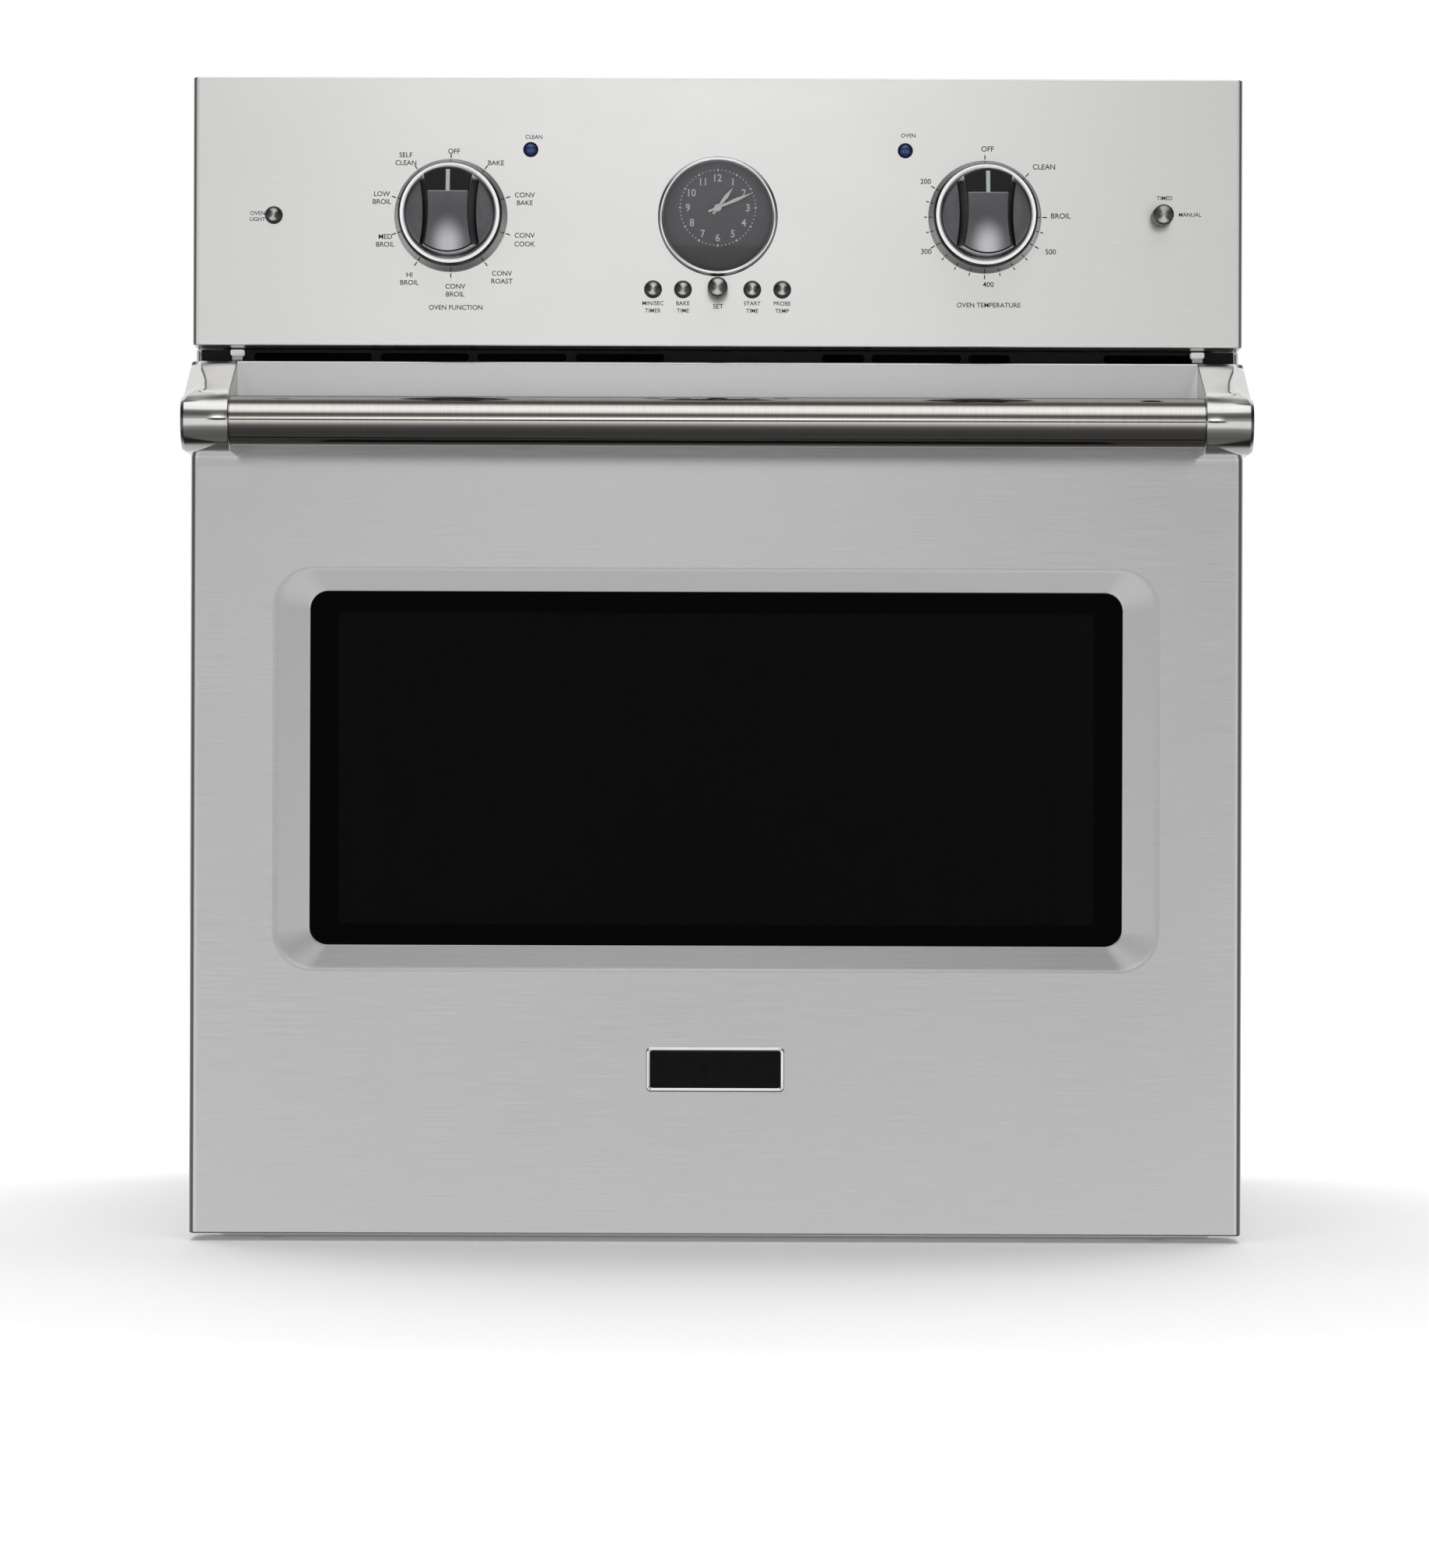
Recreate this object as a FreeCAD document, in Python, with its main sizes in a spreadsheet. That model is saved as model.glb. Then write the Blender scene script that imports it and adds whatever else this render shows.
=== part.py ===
import FreeCAD, Part
import math
import os
import re
from FreeCAD import Vector, Placement, Rotation
import Sketcher

# Built-in single electric wall oven, 27-inch class.
# Frame: X to the right, Y into the cabinet, Z up, millimetres.
# Origin: middle of the chassis base, in the plane of the cabinet face (y = 0),
# where the side trim flanges land. The door and control panel stand proud in -Y.

doc = FreeCAD.newDocument("WallOven")

# ---------------------------------------------------------------- dimensions
sheet = doc.addObject("Spreadsheet::Sheet", "Dimensions")
DIMS = [
    # chassis
    ("gauge", 1.2, "sheet metal thickness"),
    ("body_half", 320, "half width of the chassis"),
    ("body_top", 738, "top of the chassis"),
    ("body_rear", 588, "rear face of the wrapper"),
    ("front_half", 336.5, "half width of door, panel and trims"),
    ("frame_front", -3, "front plane of the cavity frame"),
    ("trim_thick", 1.5, "side trim strip"),
    # cavity
    ("cav_half", 280, "half width of the cavity"),
    ("cav_low", 105, "cavity floor"),
    ("cav_top", 515, "cavity ceiling"),
    ("cav_rear", 480, "cavity rear wall"),
    ("wool_gap", 0.8, "air between liner and insulation"),
    ("wool_half", 316, "half width of the insulation"),
    ("wool_low", 68, "underside of the insulation"),
    ("wool_top", 551, "top of the insulation"),
    ("wool_rear", 514, "rear of the insulation"),
    # control panel
    ("panel_low", 572.6, "bottom edge of the fascia"),
    ("panel_top", 744.6, "top edge of the fascia"),
    ("panel_front", -40, "front face of the fascia"),
    ("panel_back", -2, "rear edge of the fascia returns"),
    ("panel_round", 4, "radius of the fascia's side edges"),
    ("comp_floor", 572, "floor of the control compartment"),
    # controls
    ("dial_x", 171, "knob centre from the middle"),
    ("dial_z", 656, "height of the knob and clock centres"),
    ("knob_skirt", 28.9, "radius of a main knob"),
    ("knob_grip", 27.2, "radius of the grip's ends"),
    ("knob_front", -85, "front face of a main knob"),
    ("grip_waist", 11.8, "half width of the grip at its waist"),
    ("grip_scoop", 40, "radius of the grip's hollow sides"),
    ("shaft_rad", 3, "knob shaft radius"),
    ("shaft_bore", 3.05, "bore for a knob shaft"),
    ("clock_bore", 36.2, "clock hole in the fascia"),
    ("clock_neck", 36.1, "neck of the clock bezel"),
    ("clock_rim", 37.8, "outer radius of the clock bezel"),
    ("dial_rad", 35.2, "clock dial and lens radius"),
    ("hand_z", 662, "height of the hands' axis"),
    ("lamp_x", 120, "indicator centre from the middle"),
    ("lamp_z", 698.5, "indicator height"),
    ("lamp_rad", 4.75, "indicator lens radius"),
    ("key_z", 609.2, "height of the lower button row"),
    ("key_outer", 41.4, "outer button from the middle"),
    ("key_inner", 22.2, "inner button from the middle"),
    ("key_rad", 4.8, "button radius"),
    ("key_hole", 5.1, "button hole radius"),
    ("key_front", -45, "front of a released button"),
    ("light_x", -284.5, "light button"),
    ("mode_x", 284, "mode knob"),
    # door
    ("door_low", 4, "bottom edge of the door"),
    ("door_top", 561.7, "top edge of the door"),
    ("door_front", -50, "front face of the door skin"),
    ("door_back", -13, "rear edge of the skin's returns"),
    ("door_inner", -10, "inner face of the door"),
    ("door_round", 5, "radius of the door's side edges"),
    ("win_half", 260, "half width of the window opening"),
    ("win_low", 188.4, "bottom of the window opening"),
    ("win_top", 415.3, "top of the window opening"),
    ("win_round", 12, "corner radius of the window opening"),
    ("bev_half", 282.5, "half width of the window recess"),
    ("bev_low", 173, "bottom of the window recess"),
    ("bev_top", 429.5, "top of the window recess"),
    ("bev_round", 25, "corner radius of the window recess"),
    ("bev_deep", 3, "depth of the window recess"),
    ("glass_front", -45.5, "front of the outer glass"),
    ("bar_y", -100, "handle bar axis"),
    ("bar_z", 520.5, "handle bar height"),
    ("bar_rad", 15.6, "handle bar radius"),
    ("wrap_rad", 20, "radius of the bracket's nose"),
    ("bar_half", 306.5, "half length of the bar between brackets"),
    ("badge_z", 109.9, "badge height"),
    ("badge_half", 44.15, "half width of the badge"),
    ("badge_rise", 14.35, "half height of the badge"),
    # hinges
    ("pin_y", -16, "hinge pin"),
    ("pin_z", 15, "hinge pin height"),
    ("pin_rad", 4, "hinge pin radius"),
    ("eye_bore", 4.05, "bore of the claw's eye"),
    ("hinge_x", 285, "hinge centre from the middle"),
    # inside
    ("tube_rad", 4, "heating element tube radius"),
    ("wire_frame", 3.2, "rack frame wire radius"),
    ("wire_thin", 1.6, "rack wire radius"),
    ("wire_rail", 2.5, "ladder wire radius"),
    ("rack_half", 270, "rack frame wire centre from the middle"),
    ("rack_front", 20, "rack front wire"),
    ("rack_rear", 420, "rack rear wire"),
    ("fan_z", 310, "fan axis height"),
    ("fan_bore", 4.05, "motor bore"),
    ("fan_shaft", 4, "fan shaft radius"),
    ("blow_y", 400, "cooling blower axis"),
    ("trim_hole", 2.4, "cabinet screw hole radius"),
    ("trim_x", 328.5, "cabinet screw from the middle"),
    ("conduit_rad", 11.1, "conduit collar bore radius"),
    ("conduit_x", 245, "conduit collar"),
    ("conduit_z", 680, "conduit collar height"),
]
for row, (alias, value, note) in enumerate(DIMS, 1):
    sheet.set("A%d" % row, note)
    sheet.set("B%d" % row, str(value))
    sheet.setAlias("B%d" % row, alias)
doc.recompute()
ALIASES = set(d[0] for d in DIMS)


def val(alias):
    return float(getattr(sheet, alias))


def E(text):
    """An expression whose words are the sheet's aliases."""
    return re.sub(r"[A-Za-z_][A-Za-z_0-9]*",
                  lambda m: "Dimensions." + m.group(0) if m.group(0) in ALIASES else m.group(0),
                  str(text))


def num(text):
    """The present value of such an expression."""
    return float(reckon(str(text)))


def reckon(text):
    """Arithmetic on aliases and plain numbers: + - * / and brackets."""
    tokens = re.findall(r"[A-Za-z_][A-Za-z_0-9]*|\d+\.?\d*|\.\d+|[-+*/()]", text)
    pos = [0]

    def factor():
        t = tokens[pos[0]]
        pos[0] += 1
        if t == "-":
            return -factor()
        if t == "+":
            return factor()
        if t == "(":
            v = expr()
            pos[0] += 1
            return v
        return val(t) if t in ALIASES else float(t)

    def term():
        v = factor()
        while pos[0] < len(tokens) and tokens[pos[0]] in "*/":
            op = tokens[pos[0]]
            pos[0] += 1
            w = factor()
            v = v * w if op == "*" else v / w
        return v

    def expr():
        v = term()
        while pos[0] < len(tokens) and tokens[pos[0]] in "+-":
            op = tokens[pos[0]]
            pos[0] += 1
            w = term()
            v = v + w if op == "+" else v - w
        return v

    return expr()


PARTS = []      # (label, object) in the order they are written
count = [0]


def uid(stem):
    count[0] += 1
    return "%s_%03d" % (stem, count[0])


def place(o, x, y, z):
    for axis, e in zip("xyz", (x, y, z)):
        o.setExpression("Placement.Base." + axis, E(e))


def box(x0, x1, y0, y1, z0, z1, turn=None):
    o = doc.addObject("Part::Box", uid("Box"))
    o.setExpression("Length", E("(%s)-(%s)" % (x1, x0)))
    o.setExpression("Width", E("(%s)-(%s)" % (y1, y0)))
    o.setExpression("Height", E("(%s)-(%s)" % (z1, z0)))
    place(o, x0, y0, z0)
    return o


ALONG = {"X": Rotation(Vector(0, 1, 0), 90), "Y": Rotation(Vector(1, 0, 0), -90), "Z": Rotation()}


def rod(axis, radius, x, y, z, length):
    """A cylinder that starts at x, y, z and runs along +axis."""
    o = doc.addObject("Part::Cylinder", uid("Rod"))
    o.setExpression("Radius", E(radius))
    o.setExpression("Height", E(length))
    o.Placement = Placement(Vector(), ALONG[axis])
    place(o, x, y, z)
    return o


def fuse(*items):
    items = [i for i in items if i is not None]
    if len(items) == 1:
        return items[0]
    o = doc.addObject("Part::MultiFuse", uid("Fuse"))
    o.Shapes = list(items)
    o.Refine = True
    return o


def cut(base, *tools):
    o = doc.addObject("Part::Cut", uid("Cut"))
    o.Base = base
    o.Tool = fuse(*tools)
    o.Refine = True
    return o


def common(a, b):
    o = doc.addObject("Part::MultiCommon", uid("Common"))
    o.Shapes = [a, b]
    return o


def group(*items):
    """Separate solids that share a node."""
    o = doc.addObject("Part::Compound", uid("Set"))
    o.Links = list(items)
    return o


def rplate(x0, x1, y0, y1, z0, z1, r):
    """A plate in the XZ plane with rounded corners."""
    a = box("(%s)+(%s)" % (x0, r), "(%s)-(%s)" % (x1, r), y0, y1, z0, z1)
    b = box(x0, x1, y0, y1, "(%s)+(%s)" % (z0, r), "(%s)-(%s)" % (z1, r))
    thick = "(%s)-(%s)" % (y1, y0)
    corners = [rod("Y", r, "(%s)%s(%s)" % (px, sx, r), y0, "(%s)%s(%s)" % (pz, sz, r), thick)
               for px, sx in ((x0, "+"), (x1, "-")) for pz, sz in ((z0, "+"), (z1, "-"))]
    return fuse(a, b, *corners)


def vplate(half, y0, y1, z0, z1, r):
    """A block whose two front upright edges are rounded."""
    a = box("-(%s)+(%s)" % (half, r), "(%s)-(%s)" % (half, r), y0, y1, z0, z1)
    b = box("-(%s)" % half, half, "(%s)+(%s)" % (y0, r), y1, z0, z1)
    high = "(%s)-(%s)" % (z1, z0)
    c = [rod("Z", r, "%s((%s)-(%s))" % (s, half, r), "(%s)+(%s)" % (y0, r), z0, high) for s in ("-1*", "")]
    return fuse(a, b, *c)


def keep(label, o):
    o.Label = label
    PARTS.append((label, o))
    return o


# ---- PartDesign helpers
def new_body(stem):
    return doc.addObject("PartDesign::Body", uid(stem))


def plane_of(body, role):
    return [f for f in body.Origin.OriginFeatures if f.Role == role][0]


def flat_sketch(body, role):
    sk = body.newObject("Sketcher::SketchObject", uid("Sketch"))
    sk.AttachmentSupport = [(plane_of(body, role), "")]
    sk.MapMode = "FlatFace"
    return sk


def polygon(sk, pts):
    """A closed outline; every corner is held by driving dimensions."""
    n = len(pts)
    xy = [(num(a), num(b)) for a, b in pts]
    for i in range(n):
        p, q = xy[i], xy[(i + 1) % n]
        sk.addGeometry(Part.LineSegment(Vector(p[0], p[1], 0), Vector(q[0], q[1], 0)), False)
    for i in range(n):
        sk.addConstraint(Sketcher.Constraint("Coincident", i, 2, (i + 1) % n, 1))
    for i, (a, b) in enumerate(pts):
        for kind, e, v, axis in (("DistanceX", a, xy[i][0], -2), ("DistanceY", b, xy[i][1], -1)):
            if abs(v) < 1e-9:
                sk.addConstraint(Sketcher.Constraint("PointOnObject", i, 1, axis))
            else:
                k = sk.addConstraint(Sketcher.Constraint(kind, -1, 1, i, 1, v))
                sk.setExpression("Constraints[%d]" % k, E(e))
    return sk


def turned(pts, x, y, z, rotation=None):
    """A turned piece: pts are (radius, distance back from the front), axis along +Y."""
    body = new_body("Turned")
    sk = polygon(flat_sketch(body, "XY_Plane"), pts)
    rev = body.newObject("PartDesign::Revolution", uid("Revolution"))
    rev.Profile = sk
    rev.ReferenceAxis = (sk, ["V_Axis"])
    rev.Angle = 360
    sk.Visibility = False
    if rotation is not None:
        body.Placement = Placement(Vector(), rotation)
    place(body, x, y, z)
    return body


def add_pad(body, role, pts, length, reverse=False, offset=None):
    sk = polygon(flat_sketch(body, role), pts)
    if offset is not None:
        sk.setExpression("AttachmentOffset.Base.z", E(offset))
    pad = body.newObject("PartDesign::Pad", uid("Pad"))
    pad.Profile = sk
    pad.setExpression("Length", E(length))
    pad.Reversed = reverse
    return pad


def polar(body, feature, occurrences, role="Y_Axis"):
    pat = body.newObject("PartDesign::PolarPattern", uid("Polar"))
    pat.Originals = [feature]
    pat.Axis = (plane_of(body, role), [""])
    pat.Angle = 360
    pat.Occurrences = occurrences
    body.Tip = pat
    return pat


def rr_sketch(half, z0, z1, r, y):
    """A rounded rectangle in an XZ plane, symmetric about x = 0."""
    sk = doc.addObject("Sketcher::SketchObject", uid("Outline"))
    sk.Placement = Placement(Vector(), Rotation(Vector(1, 0, 0), 90))
    sk.setExpression("Placement.Base.y", E(y))
    H, A, B, R = num(half), num(z0), num(z1), num(r)
    geo = []
    up = Vector(0, 0, 1)
    geo.append(Part.LineSegment(Vector(-H + R, A, 0), Vector(H - R, A, 0)))
    geo.append(Part.ArcOfCircle(Part.Circle(Vector(H - R, A + R, 0), up, R), -math.pi / 2, 0))
    geo.append(Part.LineSegment(Vector(H, A + R, 0), Vector(H, B - R, 0)))
    geo.append(Part.ArcOfCircle(Part.Circle(Vector(H - R, B - R, 0), up, R), 0, math.pi / 2))
    geo.append(Part.LineSegment(Vector(H - R, B, 0), Vector(-H + R, B, 0)))
    geo.append(Part.ArcOfCircle(Part.Circle(Vector(-H + R, B - R, 0), up, R), math.pi / 2, math.pi))
    geo.append(Part.LineSegment(Vector(-H, B - R, 0), Vector(-H, A + R, 0)))
    geo.append(Part.ArcOfCircle(Part.Circle(Vector(-H + R, A + R, 0), up, R), math.pi, 3 * math.pi / 2))
    sk.addGeometry(geo, False)
    C = Sketcher.Constraint
    for i in range(8):
        sk.addConstraint(C("Tangent", i, 2, (i + 1) % 8, 1))
    sk.addConstraint([C("Horizontal", 0), C("Horizontal", 4), C("Vertical", 2), C("Vertical", 6)])
    sk.addConstraint([C("Equal", 1, 3), C("Equal", 3, 5), C("Equal", 5, 7)])
    for kind, args, e in (("Radius", (1, R), r),
                          ("DistanceX", (-1, 1, 2, 1, H), half),
                          ("DistanceX", (6, 1, 2, 1, 2 * H), "2*(%s)" % half),
                          ("DistanceY", (-1, 1, 0, 1, A), z0),
                          ("DistanceY", (0, 1, 4, 1, B - A), "(%s)-(%s)" % (z1, z0))):
        k = sk.addConstraint(C(kind, *args))
        sk.setExpression("Constraints[%d]" % k, E(e))
    return sk


def loft(a, b):
    o = doc.addObject("Part::Loft", uid("Loft"))
    o.Sections = [a, b]
    o.Solid = True
    o.Ruled = True
    return o


def bent_tube(pts, bend, radius, place_xyz, rotation=None):
    """A tube along straight runs joined by tangent arcs, drawn in its own XY plane."""
    sk = doc.addObject("Sketcher::SketchObject", uid("Path"))
    P = [Vector(p[0], p[1], 0) for p in pts]
    edges = []
    start = P[0]
    for i in range(1, len(P) - 1):
        a = (P[i - 1] - P[i]).normalize()
        b = (P[i + 1] - P[i]).normalize()
        half = a.getAngle(b) / 2
        d = bend / math.tan(half)
        t1 = P[i] + a * d
        t2 = P[i] + b * d
        mid_dir = (a + b).normalize()
        centre = P[i] + mid_dir * (bend / math.sin(half))
        mid = centre - mid_dir * bend
        if (t1 - start).Length > 1e-6:
            edges.append(Part.LineSegment(start, t1))
        edges.append(Part.Arc(t1, mid, t2))
        start = t2
    edges.append(Part.LineSegment(start, P[-1]))
    sk.addGeometry(edges, False)
    rotation = rotation or Rotation()
    sk.Placement = Placement(Vector(), rotation)
    place(sk, *place_xyz)
    doc.recompute()
    c = doc.addObject("Part::Circle", uid("Section"))
    c.setExpression("Radius", E(radius))
    first = P[1] - P[0]
    world_first = rotation.multVec(first)
    c.Placement = Placement(Vector(), Rotation(Vector(0, 0, 1), world_first))
    off = rotation.multVec(P[0])
    place(c, "(%s)+(%.6f)" % (place_xyz[0], off.x), "(%s)+(%.6f)" % (place_xyz[1], off.y),
          "(%s)+(%.6f)" % (place_xyz[2], off.z))
    sw = doc.addObject("Part::Sweep", uid("Tube"))
    sw.Sections = [c]
    sw.Spine = (sk, ["Edge%d" % (i + 1) for i in range(len(edges))])
    sw.Solid = True
    sw.Frenet = False
    return sw


# ================================================================ chassis
base = fuse(
    box("-body_half+gauge", "body_half-gauge", "frame_front", "body_rear", 0, "gauge"),
    box("-body_half+gauge", "-body_half+2*gauge", 5, "body_rear", 0, 25),
    box("body_half-2*gauge", "body_half-gauge", 5, "body_rear", 0, 25),
    box("-body_half+gauge", "body_half-gauge", "body_rear-gauge", "body_rear", 0, 25),
    *[box("%d" % (x - 6), "%d" % (x + 6), 60, 540, "gauge", "gauge+2.5") for x in (-180, -60, 60, 180)])
keep("base_pan", base)

wrapper = cut(box("-body_half", "body_half", 2, "body_rear", 0, "body_top"),
              box("-body_half+gauge", "body_half-gauge", -10, 600, -10, "body_top-gauge"))
keep("outer_wrapper", wrapper)

louvres = [box(x, x + 90, 580, 600, z, z + 6) for x in (-270, -160, -50, 60, 170) for z in (110, 126, 142, 600, 616)]
rear = cut(fuse(box("-body_half", "body_half", "body_rear", "body_rear+gauge", 0, "body_top"),
                box(-120, 120, "body_rear+gauge-0.1", "body_rear+1.9", 250, 372)),
           rod("Y", "conduit_rad+2.95", "conduit_x", 580, "conduit_z", 20),
           *[rod("Y", 1.8, x, 580, z, 20) for x in (-300, 300) for z in (40, 200, 380, 560, 700)], *louvres)
keep("rear_panel", rear)

frame_plate = rplate("-body_half+2", "body_half-2", "frame_front", "frame_front+gauge", 27, 561.8, 3)
frame_foot = box("-body_half+2", "body_half-2", "frame_front", "frame_front+gauge", "gauge", 40)
latch_shelf = box(-12, 12, "frame_front+gauge-0.1", 40, 538, 540)
latch_pin = rod("Z", "shaft_rad", 0, 30, 539, 12)
front = cut(fuse(frame_plate, frame_foot, latch_shelf, latch_pin),
            rplate("-cav_half-gauge", "cav_half+gauge", -10, 0.5, "cav_low-gauge", "cav_top+gauge", 12),
            box("-hinge_x-5", "-hinge_x+5", -10, 0.5, 4, 27), box("hinge_x-5", "hinge_x+5", -10, 0.5, 4, 27),
            box(-12, 44, -10, 0.5, 541.5, 549.5))
keep("front_frame", front)

trim_parts = []
for s in (-1, 1):
    lo, hi = ("-front_half", "-body_half") if s < 0 else ("body_half", "front_half")
    flange = box(lo, hi, "-trim_thick", 0, 4, "body_top")
    rim = box("-front_half", "-front_half+1.2", -9, 0, 30, "panel_low-1") if s < 0 else \
        box("front_half-1.2", "front_half", -9, 0, 30, "panel_low-1")
    lug = box("-body_half-1.3", "-body_half", "-trim_thick", 30, 30, 712) if s < 0 else \
        box("body_half", "body_half+1.3", "-trim_thick", 30, 30, 712)
    holes = [rod("Y", "trim_hole", "%s*trim_x" % ("-1" if s < 0 else "1"), -20, z, 40) for z in (120, 500)]
    trim_parts.append(cut(fuse(flange, rim, lug), *holes))
keep("side_trims", group(*trim_parts))

# ---- cavity
wall_out = rplate("-cav_half-gauge", "cav_half+gauge", "frame_front", "cav_rear+gauge", "cav_low-gauge", "cav_top+gauge", 12)
wall_in = rplate("-cav_half", "cav_half", -30, "cav_rear", "cav_low", "cav_top", 10.8)
liner = cut(wall_out, wall_in,
            rod("Y", 10, 0, 470, "fan_z", 20),
            rod("Y", 25.2, -225, 470, 455, 20), rod("Y", 25.2, 225, 470, 455, 20),
            rod("Y", 3, 120, 470, 480, 20),
            rod("X", 8.2, 270, 60, 450, 20),
            *[rod("Y", "tube_rad+0.3", x, 470, z, 20) for x, z in
              ((-130, 494), (130, 494), (-110, 122), (110, 122), (-30, 236), (30, 236))])
keep("oven_liner", liner)

wool = cut(box("-wool_half", "wool_half", 0, "wool_rear", "wool_low", "wool_top"),
           rplate("-cav_half-gauge-wool_gap", "cav_half+gauge+wool_gap", -5, "cav_rear+gauge+wool_gap",
                  "cav_low-gauge-wool_gap", "cav_top+gauge+wool_gap", 12),
           rod("Y", 14, 0, 470, "fan_z", 60),
           rod("Y", 27, -225, 470, 455, 60), rod("Y", 27, 225, 470, 455, 60),
           rod("Y", 6, 120, 470, 480, 60),
           rod("X", 11, 270, 60, 450, 60),
           box(-20, 62, -5, 55, 534, 560),
           *[rod("Y", "tube_rad+4", x, 470, z, 60) for x, z in
             ((-130, 494), (130, 494), (-110, 122), (110, 122), (-30, 236), (30, 236))])
keep("insulation_wrap", wool)

# ---- rack ladders: rails under each rack, on three uprights a side
RAILS = (202, 241, 281, 330, 379, 420)
ladders = []
for s in ("-1*", ""):
    bits = []
    for z in RAILS:
        zr = "%s-wire_frame-wire_rail-0.3" % z
        bits.append(rod("Y", "wire_rail", s + "rack_half", 12, zr, 420))
        for y in (30, 220, 410):
            x0 = "-rack_half-6.8" if s else "rack_half"
            bits.append(rod("X", "wire_rail", x0, y, zr, 6.8))
    for y in (30, 220, 410):
        bits.append(rod("Z", "wire_rail", s + "(rack_half+6.8)", y, 165, 275))
        for z in (172, 432):
            x0 = "-cav_half" if s else "rack_half+6.8"
            bits.append(rod("X", "wire_rail", x0, y, z, "cav_half-rack_half-6.8"))
    ladders.append(fuse(*bits))
keep("rack_ladders", group(*ladders))


def wire_rack(level):
    """Front, rear and side frame wires, two cross braces and the long wires between."""
    zc = str(level)
    bits = [rod("X", "wire_frame", "-rack_half", "rack_front", zc, "2*rack_half"),
            rod("X", "wire_frame", "-rack_half", "rack_rear", zc, "2*rack_half"),
            rod("X", "wire_frame", "-rack_half", 150, zc, "2*rack_half"),
            rod("X", "wire_frame", "-rack_half", 290, zc, "2*rack_half"),
            rod("Y", "wire_frame", "-rack_half", "rack_front", zc, "rack_rear-rack_front"),
            rod("Y", "wire_frame", "rack_half", "rack_front", zc, "rack_rear-rack_front")]
    for sx in ("-rack_half", "rack_half"):
        for sy in ("rack_front", "rack_rear"):
            ball = doc.addObject("Part::Sphere", uid("Ball"))
            ball.setExpression("Radius", E("wire_frame"))
            place(ball, sx, sy, zc)
            bits.append(ball)
    for k in range(-10, 11):
        bits.append(rod("Y", "wire_thin", "%g" % (k * 25), "rack_front", "%s+2.4" % zc, "rack_rear-rack_front"))
    return fuse(*bits)


for label, level in (("rack_upper", 379), ("rack_middle", 281), ("rack_lower", 202)):
    keep(label, wire_rack(level))

# ---- heating elements
broil = fuse(
    bent_tube([(-130, 500), (-130, 360), (-225, 360), (-225, 60), (-150, 60), (-150, 280), (-75, 280), (-75, 60),
               (75, 60), (75, 280), (150, 280), (150, 60), (225, 60), (225, 360), (130, 360), (130, 500)],
              20, "tube_rad", (0, 0, 494)),
    box(-232, 232, 168, 171, 488.5, 499))
keep("broil_element", broil)
bake = fuse(
    bent_tube([(-110, 500), (-110, 380), (-215, 380), (-215, 70), (215, 70), (215, 380), (110, 380), (110, 500)],
              24, "tube_rad", (0, 0, 122)),
    box(-3, 3, 64, 76, "cav_low", 119), box(-217, -213, 200, 212, "cav_low", 119), box(213, 217, 200, 212, "cav_low", 119))
keep("bake_element", bake)
ring = doc.addObject("Part::Torus", uid("Ring"))
ring.Radius1 = 96
ring.setExpression("Radius2", E("tube_rad-0.5"))
ring.Placement = Placement(Vector(), Rotation(Vector(1, 0, 0), 90))
place(ring, 0, 458, "fan_z")
keep("convection_element", fuse(ring, rod("Y", "tube_rad-0.5", -30, 456, 236, 50), rod("Y", "tube_rad-0.5", 30, 456, 236, 50),
                                box(-34, 34, 455, 459, 213, 217), box(-33.5, -26.5, 455, 459, 216, 236),
                                box(26.5, 33.5, 455, 459, 216, 236)))

# ---- fan baffle with radial inlet slots
baffle = new_body("Baffle")
place(baffle, 0, "cav_rear-42", "fan_z")
add_pad(baffle, "XZ_Plane", [(-140, -120), (140, -120), (140, 120), (-140, 120)], 42, True)
doc.recompute()
before = baffle.Shape.Volume
hollow = polygon(flat_sketch(baffle, "XZ_Plane"), [("-140+gauge", "-120+gauge"), ("140-gauge", "-120+gauge"),
                                                  ("140-gauge", "120-gauge"), ("-140+gauge", "120-gauge")])
hollow.setExpression("AttachmentOffset.Base.z", E("-gauge"))
pocket = baffle.newObject("PartDesign::Pocket", uid("Pocket"))
pocket.Profile = hollow
pocket.Length = 60
pocket.Reversed = False
doc.recompute()
if baffle.Shape.Volume > before * 0.5:
    pocket.Reversed = True
    doc.recompute()
slot = polygon(flat_sketch(baffle, "XZ_Plane"), [(-3, 28), (3, 28), (3, 68), (-3, 68)])
inlet = baffle.newObject("PartDesign::Pocket", uid("Inlet"))
inlet.Profile = slot
inlet.Length = 10
inlet.Midplane = True
doc.recompute()
polar(baffle, inlet, 18)
vents = [box(-142, 142, 446, 472, z, z + 14) for z in (206, 234, 262, 290, 318, 346, 374, 402)]
vents += [box(x, x + 30, 446, 472, 185, 440) for x in (-120, -75, 45, 90)]
keep("fan_baffle", cut(baffle, *vents))

fan = new_body("Fan")
place(fan, 0, 446, "fan_z")
doc.recompute()
hub = polygon(flat_sketch(fan, "XY_Plane"), [(0, 0), (12, 0), (12, 18), (72, 18), (72, 19.5), ("fan_shaft", 19.5),
                                            ("fan_shaft", 110), (0, 110)])
rev = fan.newObject("PartDesign::Revolution", uid("Hub"))
rev.Profile = hub
rev.ReferenceAxis = (hub, ["V_Axis"])
rev.Angle = 360
doc.recompute()
blade = add_pad(fan, "XZ_Plane", [(-1, 9), (1, 9), (1, 71), (-1, 71)], 18.6, True)
doc.recompute()
polar(fan, blade, 10)
keep("convection_fan", fan)
keep("convection_motor", turned([("fan_bore", 0), (16, 0), (16, 6), (34, 10), (36, 14), (36, 40), (34, 44), (12, 46),
                                 (12, 54), ("fan_bore", 54)], 0, "wool_rear+1", "fan_z"))

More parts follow.
